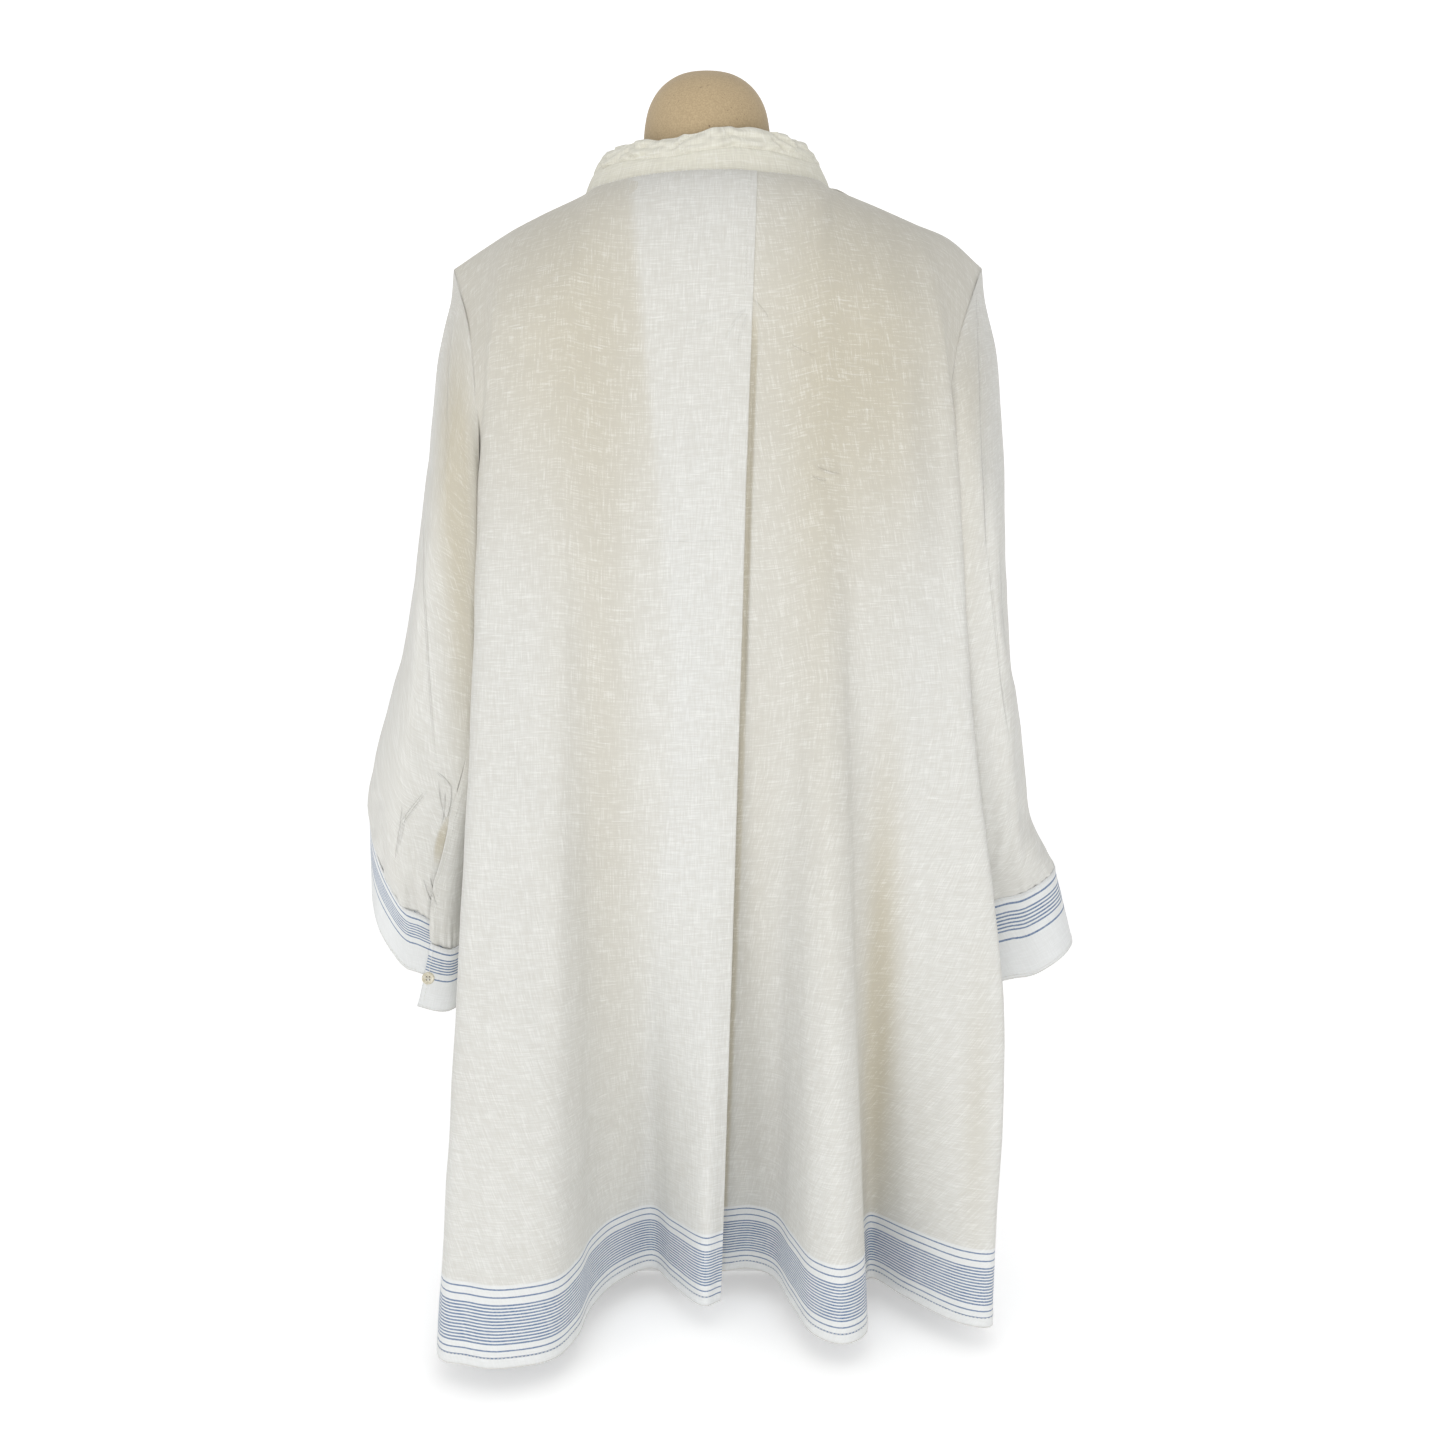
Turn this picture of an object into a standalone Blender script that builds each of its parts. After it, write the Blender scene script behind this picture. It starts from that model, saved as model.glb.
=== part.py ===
"""Linen tunic top with a stand collar, worn by a limbless dress form on a stand.

Metres, +Z up. The origin is on the floor under the stand's post. The tunic's back, with its
pleat, faces -Y, so the wearer's left is at -X.
"""

import math

import bpy
import numpy as np

# Cloth and its seams
WALL = 0.0012
SEAM_GAP = 0.0006
SHOULDER_SEAM_GAP = 0.0015
LIE_GAP = 0.0004  # between two pieces that lie on each other

# Heights above the floor
HEM_HEIGHT = 0.022
CHEST_HEIGHT = 0.70
SIDE_NECK_HEIGHT = 0.925
FRONT_NECK_DROP = 0.040
BACK_NECK_RISE = 0.006

# Neck and shoulders
NECK_HALF_WIDTH = 0.094
NECK_BACK_DEPTH = 0.062
NECK_FRONT_DEPTH = 0.086
SHOULDER_SLOPE = 0.43
SHOULDER_TILT = 0.03  # the right shoulder sits a little higher than the left
SHOULDER_ROUND = 0.10  # height in which the cloth turns from the shoulder to its full depth

# Knife pleat at the centre back: sewn at the top, free lower down
FOLD_PITCH = 0.0016  # from one layer to the next
PLEAT_SEWN_TO = 0.83
PLEAT_OPENING = 0.12  # height in which the free part opens
PLEAT_SETTLE = 0.05  # width beside the pleat in which the cloth comes back up to the seam

# Armholes, from the shoulder tip to the underarm
ARMHOLE_DEPTH = 0.206
ARMHOLE_HALF_WIDTH = 0.055
ARMHOLE_BOW = 0.012
ARMHOLE_CLEAR = 0.0014  # from the panels' edge out to the sleeve's first ring
UNDERARM_X = 0.203
SIDE_SEAM_Y = 0.022

# How a panel turns round the side of the body: outwards over the chest, and inwards below it
SIDE_TURN_OUT = 0.05
SIDE_TURN_IN = 0.11
SIDE_TURN_STEP = 0.004
SIDE_TURN_HEIGHT = 0.62
SIDE_TURN_SPAN = 0.10
SIDE_TURN_FLARE = 0.20  # height above the hem in which the turn straightens

# Collar, placket and cuffs
COLLAR_HEIGHT = 0.033
COLLAR_LEAN = 0.014
COLLAR_WALL = 0.0016
COLLAR_LAP = math.radians(7)
COLLAR_LAP_RISE = 0.0026  # the upper end of the collar stands this far outside the lower end
COLLAR_SEAT = 0.0022  # from the neckline up to the collar's lower edge
COLLAR_ROLL = 0.0022  # the roll line stands in by this much more
COLLAR_DIP = 0.0024  # the collar's lower edge follows the cloth down beside the pleat
COLLAR_LEVELS = (0.0, 0.3, 0.52, 0.62, 1.0)
COLLAR_COLUMNS = 44
PLACKET_WIDTH = 0.030
PLACKET_LENGTH = 0.285
PLACKET_START = 0.2  # in rows of the front, so that the collar's edge stays clear
SLIT_WIDTH = 0.003
SLIT_LENGTH = 0.25
CUFF_LAP = math.radians(28)
CUFF_LAP_RISE = 0.0030
CUFF_SLIT_LEAF = 0.0058
CUFF_SEAM_GAP = 0.0011
CUFF_COLUMNS = 30
RING_POWER = 0.85  # below 1 the sleeve's rings are squarer than an ellipse
RING_LEAN = 0.8  # how much more steeply the cuffs slant than the sleeves

# Buttons
BUTTON_RADIUS = 0.0052
BUTTON_THICK = 0.0022
FRONT_BUTTONS = 5

# Stand
STAND_BACK = 0.052  # the middle of the form and tunic is this far behind the post
FOOT_THICK = 0.006
POST_RADIUS = 0.010
FORM_BOTTOM = 0.370
TOUCH_GAP = 0.0003

# Folds of the back, from the left side to the pleat, then from under the pleat to the right side.
# name, x on the shoulder, x and y at the chest, x and y at the hem, how late the fold opens
BACK_LEFT_FOLDS = (
    ("left corner", -0.150, -0.169, -0.082, -0.213, -0.130, 1.0),
    ("left lobe outer", -0.128, -0.143, -0.096, -0.188, -0.146, 1.1),
    ("left lobe", -0.108, -0.122, -0.102, -0.160, -0.151, 1.2),
    ("left lobe inner", -0.094, -0.108, -0.106, -0.122, -0.138, 1.3),
    ("left wall top", -0.084, -0.098, -0.107, -0.105, -0.104, 1.5),
    ("left wall", -0.072, -0.087, -0.1075, -0.097, -0.058, 1.8),
    ("left wall foot", -0.060, -0.074, -0.108, -0.080, -0.018, 1.9),
    ("left valley", -0.042, -0.050, -0.108, -0.050, 0.008, 1.9),
    ("pleat lobe rise", -0.014, -0.022, -0.1075, -0.030, -0.022, 1.9),
    ("pleat lobe", 0.018, 0.010, -0.107, -0.006, -0.056, 1.7),
    ("pleat edge", 0.037, 0.031, -0.1065, 0.010, -0.048, 1.7),
)
BACK_RIGHT_FOLDS = (
    ("underlay", 0.044, 0.037, -0.1065, 0.017, -0.001, 1.8),
    ("middle valley", 0.056, 0.048, -0.1065, 0.037, 0.004, 1.9),
    ("middle wall foot", 0.068, 0.059, -0.1065, 0.057, -0.010, 1.9),
    ("middle wall", 0.078, 0.068, -0.1065, 0.070, -0.054, 1.7),
    ("right ridge inner", 0.086, 0.077, -0.106, 0.084, -0.098, 1.4),
    ("right ridge", 0.094, 0.086, -0.105, 0.108, -0.116, 1.3),
    ("right ridge edge", 0.102, 0.095, -0.103, 0.129, -0.096, 1.3),
    ("right wall", 0.110, 0.105, -0.101, 0.129, -0.046, 1.6),
    ("right valley", 0.120, 0.122, -0.098, 0.140, -0.010, 1.8),
    ("right slope", 0.134, 0.148, -0.092, 0.168, -0.044, 1.5),
    ("right lobe", 0.150, 0.174, -0.082, 0.204, -0.084, 1.1),
    ("right corner", 0.163, 0.193, -0.074, 0.230, -0.086, 0.9),
)
# Folds of the front, from the left side to the right side, with the same columns
FRONT_FOLDS = (
    ("left corner", -0.150, -0.170, 0.088, -0.216, 0.116, 1.0),
    ("left ridge", -0.126, -0.142, 0.106, -0.172, 0.150, 1.2),
    ("left ridge inner", -0.108, -0.118, 0.116, -0.132, 0.128, 1.4),
    ("left valley", -0.090, -0.096, 0.121, -0.104, 0.082, 1.6),
    ("left slope", -0.068, -0.068, 0.125, -0.070, 0.094, 1.5),
    ("left middle ridge", -0.040, -0.038, 0.128, -0.036, 0.140, 1.3),
    ("placket left", -0.018, -0.017, 0.1295, -0.014, 0.142, 1.3),
    ("placket right", 0.018, 0.017, 0.1295, 0.020, 0.136, 1.3),
    ("right middle slope", 0.042, 0.042, 0.128, 0.050, 0.100, 1.5),
    ("right valley", 0.070, 0.072, 0.124, 0.080, 0.084, 1.6),
    ("right ridge inner", 0.094, 0.098, 0.119, 0.112, 0.116, 1.4),
    ("right ridge", 0.120, 0.130, 0.110, 0.150, 0.148, 1.2),
    ("right slope", 0.142, 0.160, 0.098, 0.192, 0.134, 1.1),
    ("right corner", 0.160, 0.188, 0.084, 0.226, 0.106, 1.0),
)
# Side seams below the underarm: height, distance from the middle
SIDE_SEAM = (
    (0.68, UNDERARM_X),
    (0.60, 0.2025),
    (0.52, 0.1995),
    (0.44, 0.1955),
    (0.36, 0.1930),
    (0.28, 0.1930),
    (0.18, 0.2050),
    (0.08, 0.2170),
    (0.00, 0.2230),
)
# Inner fold of the pleat: height, x
INNER_FOLD = (
    (0.94, -0.058),
    (0.80, -0.046),
    (0.70, -0.037),
    (0.56, -0.026),
    (0.48, -0.030),
    (0.37, -0.044),
    (0.02, -0.064),
)
# Shoulder tips: x, z
SHOULDER_TIPS = {"left": (-0.199, 0.869), "right": (0.209, 0.880)}
# Sleeves from the armhole down: x and z of the outer edge, x and z of the inner edge, half width
# from front to back, how far the front and back stand out beyond the middle
SLEEVES = {
    "left": (
        ("cap", 0.2085, 0.838, 0.2085, 0.652, 0.062, 0.011),
        ("upper arm", 0.2180, 0.792, 0.2080, 0.640, 0.070, 0.009),
        ("arm", 0.2260, 0.716, 0.2065, 0.605, 0.076, 0.005),
        ("above elbow", 0.2350, 0.639, 0.2045, 0.560, 0.076, 0.002),
        ("elbow", 0.2520, 0.556, 0.2025, 0.500, 0.073, 0.0),
        ("below elbow", 0.2700, 0.496, 0.1995, 0.452, 0.068, 0.0),
        ("forearm", 0.2800, 0.446, 0.1985, 0.402, 0.059, 0.0),
        ("wrist", 0.2810, 0.412, 0.1995, 0.356, 0.047, 0.0),
        ("cuff seam", 0.2790, 0.398, 0.2010, 0.326, 0.038, 0.0),
    ),
    "right": (
        ("cap", 0.2185, 0.850, 0.2100, 0.662, 0.062, 0.009),
        ("upper arm", 0.2270, 0.800, 0.2095, 0.650, 0.070, 0.007),
        ("arm", 0.2360, 0.716, 0.2085, 0.612, 0.076, 0.004),
        ("above elbow", 0.2410, 0.639, 0.2070, 0.560, 0.076, 0.002),
        ("elbow", 0.2470, 0.560, 0.2045, 0.505, 0.073, 0.0),
        ("below elbow", 0.2550, 0.496, 0.2030, 0.455, 0.068, 0.0),
        ("forearm", 0.2680, 0.440, 0.2040, 0.410, 0.059, 0.0),
        ("wrist", 0.2820, 0.398, 0.2080, 0.372, 0.046, 0.0),
        ("cuff seam", 0.2890, 0.378, 0.2110, 0.348, 0.036, 0.0),
    ),
}
# Lower edges of the cuffs, with the same columns
CUFF_EDGES = {
    "left": ("cuff edge", 0.2790, 0.338, 0.2030, 0.264, 0.039, 0.0),
    "right": ("cuff edge", 0.3040, 0.318, 0.2130, 0.280, 0.037, 0.0),
}
# Angle of each sleeve's slit round the sleeve, from the outer edge over the back, top and bottom
SLIT_ANGLES = {"left": (106, 88), "right": (160, 150)}
SLIT_TOP_ROW = 5.2  # in rows of SLEEVES, counted from the armhole
# Dress form: height, half width, half depth
FORM_NECK = (
    (1.0135, 0.012, 0.011),
    (1.0105, 0.024, 0.022),
    (1.0020, 0.036, 0.034),
    (0.9890, 0.0445, 0.042),
    (0.9720, 0.0485, 0.046),
    (0.9500, 0.0500, 0.048),
    (0.9340, 0.0530, 0.049),
    (0.9250, 0.0680, 0.044),
)
FORM_SHOULDER_DEPTHS = (
    (0.9190, 0.041),
    (0.9090, 0.045),
    (0.8980, 0.048),
    (0.8890, 0.051),
)
FORM_BODY = (
    (0.8740, 0.181, 0.056),
    (0.8500, 0.186, 0.072),
    (0.8100, 0.183, 0.094),
    (0.7600, 0.172, 0.098),
    (0.7000, 0.160, 0.098),
    (0.6400, 0.146, 0.088),
    (0.5800, 0.138, 0.080),
    (0.5200, 0.143, 0.080),
    (0.4600, 0.152, 0.082),
    (0.4100, 0.152, 0.080),
    (0.3850, 0.146, 0.076),
    (FORM_BOTTOM, 0.134, 0.068),
)
FORM_SHOULDER_GAP = 0.0016
# Foot, a flat plate with two runners and a cross bar: x, y, in order round the outline
FOOT_OUTLINE = (
    (-0.165, -0.147),
    (-0.140, -0.147),
    (-0.140, -0.009),
    (0.098, -0.009),
    (0.098, -0.112),
    (0.120, -0.112),
    (0.120, 0.040),
    (0.098, 0.040),
    (0.098, 0.022),
    (-0.140, 0.022),
    (-0.140, 0.040),
    (-0.165, 0.040),
)

SHOULDER_ROWS = 5
BACK_ROWS = 19
FRONT_ROWS = 17
SLEEVE_COLUMNS = 24
TAU = 2 * math.pi


def clear_scene():
    for thing in list(bpy.data.objects):
        bpy.data.objects.remove(thing, do_unlink=True)


def material(name, colour, roughness, metallic=0.0):
    found = bpy.data.materials.get(name)
    if found:
        return found
    made = bpy.data.materials.new(name)
    made.use_nodes = True
    shader = made.node_tree.nodes["Principled BSDF"]
    shader.inputs["Base Color"].default_value = (*colour, 1.0)
    shader.inputs["Roughness"].default_value = roughness
    shader.inputs["Metallic"].default_value = metallic
    return made


def linen():
    return material("linen", (0.83, 0.82, 0.78), 0.85)


def shell_button():
    return material("shell_button", (0.80, 0.76, 0.64), 0.30)


def form_cloth():
    return material("form_cloth", (0.56, 0.45, 0.29), 0.90)


def stand_paint():
    return material("stand_paint", (0.85, 0.85, 0.84), 0.40)


def add_mesh(name, points, faces, finish, smooth_angle=40):
    """One node from its points and faces, turned right side out."""
    points = np.asarray(points, float)
    mesh = bpy.data.meshes.new(name)
    mesh.from_pydata(points.tolist(), [], [tuple(face) for face in faces])
    mesh.materials.append(finish)
    mesh.update()
    mesh.shade_smooth()
    mesh.set_sharp_from_angle(angle=math.radians(smooth_angle))
    made = bpy.data.objects.new(name, mesh)
    bpy.context.collection.objects.link(made)
    return made


def normals_of(grid, closed):
    """Unit normals of a grid of points, from the directions along its rows and columns."""
    down = np.gradient(grid, axis=0)
    if closed:
        along = np.roll(grid, -1, axis=1) - np.roll(grid, 1, axis=1)
    else:
        along = np.gradient(grid, axis=1)
    normal = np.cross(down, along)
    return normal / np.maximum(np.linalg.norm(normal, axis=2, keepdims=True), 1e-12)


def cloth(name, grid, finish, wall=WALL, closed=False, keep=None):
    """A wall of even thickness with the grid's points in its middle. keep says which of the
    grid's faces are cloth, so that a slit can be left open."""
    rows, columns = grid.shape[:2]
    normal = normals_of(grid, closed)
    front = (grid + normal * wall / 2).reshape(-1, 3)
    back = (grid - normal * wall / 2).reshape(-1, 3)
    spans = columns if closed else columns - 1
    if keep is None:
        keep = np.ones((rows - 1, spans), bool)
    index = np.arange(rows * columns).reshape(rows, columns)
    faces = []
    edges = {}
    for i in range(rows - 1):
        for j in range(spans):
            if not keep[i, j]:
                continue
            k = (j + 1) % columns
            ring = (index[i, j], index[i + 1, j], index[i + 1, k], index[i, k])
            faces.append((ring[0], ring[1], ring[2]))
            faces.append((ring[0], ring[2], ring[3]))
            for a, b in zip(ring, ring[1:] + ring[:1]):
                edges[(a, b)] = True
    count = rows * columns
    solid = list(faces)
    solid += [(a + count, c + count, b + count) for a, b, c in faces]
    for a, b in edges:
        if (b, a) not in edges:
            solid.append((b, a, a + count))
            solid.append((b, a + count, b + count))
    points = np.concatenate([front, back])
    used = np.unique(np.array(solid))
    renumber = np.zeros(len(points), int)
    renumber[used] = np.arange(len(used))
    solid = renumber[np.array(solid)]
    points = points[used]
    corners = points[solid]
    if np.einsum("ij,ij->i", corners[:, 0], np.cross(corners[:, 1], corners[:, 2])).sum() < 0:
        solid = solid[:, ::-1]
    return add_mesh(name, points, solid.tolist(), finish)


def ease(t):
    t = np.clip(t, 0, 1)
    return t * t * (3 - 2 * t)


def drop(t):
    """How far the cloth has reached its full depth, t of the way down from the shoulder."""
    return np.sqrt(1 - (1 - np.clip(t, 0, 1)) ** 2)


def spline(points, per_span):
    """A Catmull-Rom curve through rows of numbers, with per_span steps between two rows."""
    points = np.asarray(points, float)
    ends = np.concatenate([[2 * points[0] - points[1]], points, [2 * points[-1] - points[-2]]])
    made = []
    for k in range(len(points) - 1):
        a, b, c, d = ends[k : k + 4]
        for step in range(per_span):
            t = step / per_span
            made.append(
                0.5
                * (
                    2 * b
                    + (c - a) * t
                    + (2 * a - 5 * b + 4 * c - d) * t * t
                    + (3 * b - a - 3 * c + d) * t**3
                )
            )
    made.append(points[-1])
    return np.array(made)


def shoulder_height(x):
    return (
        SIDE_NECK_HEIGHT
        - SHOULDER_SLOPE * (abs(x) - NECK_HALF_WIDTH)
        + SHOULDER_TILT * x
    )


def top_point(x, facing):
    """Where a column of the panel starts: on the neckline, or on the shoulder outside it.
    facing is -1 for the back and 1 for the front."""
    if abs(x) >= NECK_HALF_WIDTH:
        return facing * SHOULDER_SEAM_GAP, shoulder_height(x)
    round_off = 1 - (x / NECK_HALF_WIDTH) ** 2
    side = SIDE_NECK_HEIGHT + SHOULDER_TILT * x
    if facing < 0:
        depth = max(NECK_BACK_DEPTH * math.sqrt(round_off), SHOULDER_SEAM_GAP)
        return -depth, side + BACK_NECK_RISE * round_off
    depth = max(NECK_FRONT_DEPTH * math.sqrt(round_off), SHOULDER_SEAM_GAP)
    return depth, side - FRONT_NECK_DROP * round_off


def armhole_point(side, fraction, facing):
    """A point of the armhole seam, from the shoulder tip to the underarm."""
    tip_x, tip_z = SHOULDER_TIPS[side]
    sign = math.copysign(1, tip_x)
    wave = math.sin(math.pi * fraction)
    x = abs(tip_x) + (UNDERARM_X - abs(tip_x)) * fraction + ARMHOLE_BOW * wave
    return np.array([sign * x, facing * ARMHOLE_HALF_WIDTH * wave, tip_z - ARMHOLE_DEPTH * fraction])


def side_edge(side, height, facing):
    """A panel's edge at a height: the armhole above the underarm, the side seam below it."""
    tip_x, tip_z = SHOULDER_TIPS[side]
    sign = math.copysign(1, tip_x)
    fraction = (tip_z - height) / ARMHOLE_DEPTH
    if fraction <= 1:
        point = armhole_point(side, max(fraction, 0), facing)
        return point[0], point[1] + facing * SEAM_GAP
    down = (tip_z - ARMHOLE_DEPTH - height) / (tip_z - ARMHOLE_DEPTH - HEM_HEIGHT)
    heights, reaches = np.array(SIDE_SEAM)[::-1].T
    x = np.interp(height, heights, reaches)
    return sign * x, SIDE_SEAM_Y * down + facing * SEAM_GAP


def column_point(fold, height, facing):
    """Where a fold's line passes at a height: from the shoulder to the chest the cloth lies on
    the form, and below the chest it swings to its place in the hem."""
    _, top_x, chest_x, chest_y, hem_x, hem_y, late = fold
    top_y, top_z = top_point(top_x, facing)
    if height > CHEST_HEIGHT:
        up = (height - CHEST_HEIGHT) / (top_z - CHEST_HEIGHT)
        x = chest_x + (top_x - chest_x) * up
        y = top_y + (chest_y - top_y) * drop((top_z - height) / SHOULDER_ROUND)
        return x, y
    down = (CHEST_HEIGHT - height) / (CHEST_HEIGHT - HEM_HEIGHT)
    x = chest_x + (hem_x - chest_x) * down**1.05
    y = chest_y + (hem_y - chest_y) * down**late
    return x, y


def row_height(row, rows, top):
    """Height of a row of a panel: the first rows follow the round of the shoulder."""
    if row <= SHOULDER_ROWS:
        return top - SHOULDER_ROUND * (1 - math.cos(math.pi / 2 * row / SHOULDER_ROWS))
    below = (row - SHOULDER_ROWS) / (rows - 1 - SHOULDER_ROWS)
    return top - SHOULDER_ROUND + (HEM_HEIGHT - top + SHOULDER_ROUND) * below


def panel(folds, facing, rows, left_edge, right_edge, per_span):
    """A grid of points of a body panel, from its top edge to its hem. An edge that ends in a
    side seam turns round the side of the body to reach it."""
    grid = []
    for row in range(rows):
        line = []
        for fold in folds:
            height = row_height(row, rows, top_point(fold[1], facing)[1])
            x, y = column_point(fold, height, facing)
            line.append((x, y, height))
        for side, present in (("left", left_edge), ("right", right_edge)):
            if not present:
                continue
            tip_x, tip_z = SHOULDER_TIPS[side]
            height = row_height(row, rows, tip_z)
            x, y = side_edge(side, height, facing)
            corner = line[0] if side == "left" else line[-1]
            depth = abs(y - corner[1])
            low = ease((SIDE_TURN_HEIGHT - height) / SIDE_TURN_SPAN)
            flare = ease((height - HEM_HEIGHT) / SIDE_TURN_FLARE)
            out = (SIDE_TURN_OUT * depth + SIDE_TURN_STEP) * (1 - low)
            out -= SIDE_TURN_IN * depth * low * flare
            middle = (
                (x + corner[0]) / 2 + math.copysign(out, out * tip_x),
                (y + corner[1]) / 2,
                (height + corner[2]) / 2,
            )
            if side == "left":
                line = [(x, y, height), middle] + line
            else:
                line = line + [middle, (x, y, height)]
        grid.append(spline(line, per_span))
    return np.array(grid)


def at_x(line, values, x):
    """Values read along one row of a grid at the places x."""
    return np.stack([np.interp(x, line[:, 0], values[:, axis]) for axis in range(3)], axis=1)


def back_panel():
    """The back with its centre pleat: the outer layer runs to the pleat's edge, turns under it
    to the inner fold, and comes out again as the underlay."""
    left = panel(BACK_LEFT_FOLDS, -1, BACK_ROWS, True, False, 2)
    right = panel(BACK_RIGHT_FOLDS, -1, BACK_ROWS, False, True, 2)
    outward = normals_of(left, False)
    outward *= -np.sign(outward[..., 1:2].mean())
    right_outward = normals_of(right, False)
    right_outward *= -np.sign(right_outward[..., 1:2].mean())
    # Beside the pleat the cloth lies as deep as the lowest of the three layers.
    beside = 1 - ease((right[..., 0:1] - right[:, :1, 0:1]) / PLEAT_SETTLE)
    right = right - right_outward * (2 * FOLD_PITCH * beside)
    heights, places = np.array(INNER_FOLD)[::-1].T
    steps = np.linspace(0, 1, 6)
    rows = []
    for row in range(BACK_ROWS):
        line, normal = left[row], outward[row]
        edge = line[-1]
        inner_x = np.interp(edge[2], heights, places)
        x = inner_x + (edge[0] - inner_x) * steps
        base, lift = at_x(line, line, x), at_x(line, normal, x)
        lift /= np.linalg.norm(lift, axis=1, keepdims=True)
        chord = base[0, 1] + (right[row, 0, 1] - base[0, 1]) * steps
        slack = np.maximum(chord - base[:, 1] - 2 * FOLD_PITCH, 0)
        slack *= ease((PLEAT_SEWN_TO - edge[2]) / PLEAT_OPENING)
        under = base - lift * FOLD_PITCH
        under[:, 1] += slack * 0.5 * (1 - steps**3)
        lowest = base - lift * 2 * FOLD_PITCH
        lowest[:, 1] += slack
        turn = (line[-1] + under[-1]) / 2 + [FOLD_PITCH / 2, 0, 0]
        inner_turn = (under[0] + lowest[0]) / 2 - [FOLD_PITCH / 2, 0, 0]
        rows.append(
            np.concatenate([line, [turn], under[::-1], [inner_turn], lowest[:-1], right[row]])
        )
    return np.array(rows)


def front_panel():
    """The front, and which of its faces are cloth: its middle column is parted in two, and the
    strip between them is the slit under the placket."""
    grid = panel(FRONT_FOLDS, 1, FRONT_ROWS, True, True, 2)
    middle = int(np.argmin(abs(grid[0, :, 0])))
    half = np.array([SLIT_WIDTH / 2, 0, 0])
    centre = grid[:, middle : middle + 1]
    parts = [grid[:, :middle], centre - half, centre + half, grid[:, middle + 1 :]]
    grid = np.concatenate(parts, axis=1)
    keep = np.ones((len(grid) - 1, grid.shape[1] - 1), bool)
    slit_bottom = grid[0, middle, 2] - SLIT_LENGTH
    keep[:, middle] = grid[1:, middle, 2] < slit_bottom
    return grid, keep


def squarish(value):
    return math.copysign(abs(value) ** RING_POWER, value)


def sleeve_ring(side, row, angle, grow=0.0):
    """A point of a sleeve or cuff ring: angle 0 is the outer edge and a quarter turn the back.
    row holds the columns of SLEEVES without the name."""
    sign = math.copysign(1, SHOULDER_TIPS[side][0])
    out_x, out_z, in_x, in_z, half, bow = row
    c, s = squarish(math.cos(angle)), squarish(math.sin(angle))
    lean = 1.0 + RING_LEAN * ease((0.47 - out_z) / 0.08)
    height = in_z + (out_z - in_z) * ((1 + math.cos(angle)) / 2) ** lean
    reach = (out_x - in_x) / 2
    reach += math.copysign(grow, reach)
    x = (out_x + in_x) / 2 + reach * c + bow * s * s
    return sign * x, -(half + grow) * s, height


def sleeve(side):
    """A sleeve from its armhole to its cuff seam, with the faces that are cloth: the slit above
    the cuff is open."""
    table = [row[1:] for row in SLEEVES[side]]
    rings = spline(table, 2)
    top, bottom = (math.radians(a) for a in SLIT_ANGLES[side])
    sign = math.copysign(1, SHOULDER_TIPS[side][0])
    grid = []
    keep = []
    for step in range(-1, len(rings)):
        place = step / 2
        down = min(max(place / (len(table) - 1), 0), 1)
        slit = top + (bottom - top) * ease((place - 3) / (len(table) - 4))
        opening = np.clip((place - SLIT_TOP_ROW) / (len(table) - 1 - SLIT_TOP_ROW), 0, 1)
        gap = 0.0012 + CUFF_SLIT_LEAF * math.sin(math.pi * min(opening * 1.25, 1))
        half_turn = gap / 2 / rings[max(step, 0)][4]
        angles = slit + half_turn + (TAU - 2 * half_turn) * np.linspace(0, 1, SLEEVE_COLUMNS)
        ring = []
        for angle in angles:
            if step < 0:
                fraction = (1 - math.cos(angle)) / 2
                facing = -math.copysign(1, math.sin(angle))
                point = armhole_point(side, fraction, facing)
                point[0] += sign * ARMHOLE_CLEAR
                ring.append(point)
            else:
                ring.append(sleeve_ring(side, rings[step], angle))
        grid.append(ring)
        if step >= 0:
            closed = place <= SLIT_TOP_ROW
            keep.append([True] * (SLEEVE_COLUMNS - 1) + [closed])
    return np.array(grid, float), np.array(keep)


def cuff(side):
    """A cuff band: its two ends lap over the slit, the outer one towards the outer edge."""
    seam, edge = SLEEVES[side][-1][1:], CUFF_EDGES[side][1:]
    start = math.radians(SLIT_ANGLES[side][1])
    grid = []
    for t in np.linspace(0, 1, 4):
        row = [a + (b - a) * t for a, b in zip(seam, edge)]
        row[1] -= CUFF_SEAM_GAP * (1 - t)
        row[3] -= CUFF_SEAM_GAP * (1 - t)
        line = []
        for turn in np.linspace(0, TAU + CUFF_LAP, CUFF_COLUMNS):
            rise = CUFF_LAP_RISE * (1 - ease((turn - 0.4) / 1.6))
            line.append(sleeve_ring(side, row, start + turn, rise))
        grid.append(line)
    return np.array(grid)


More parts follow.
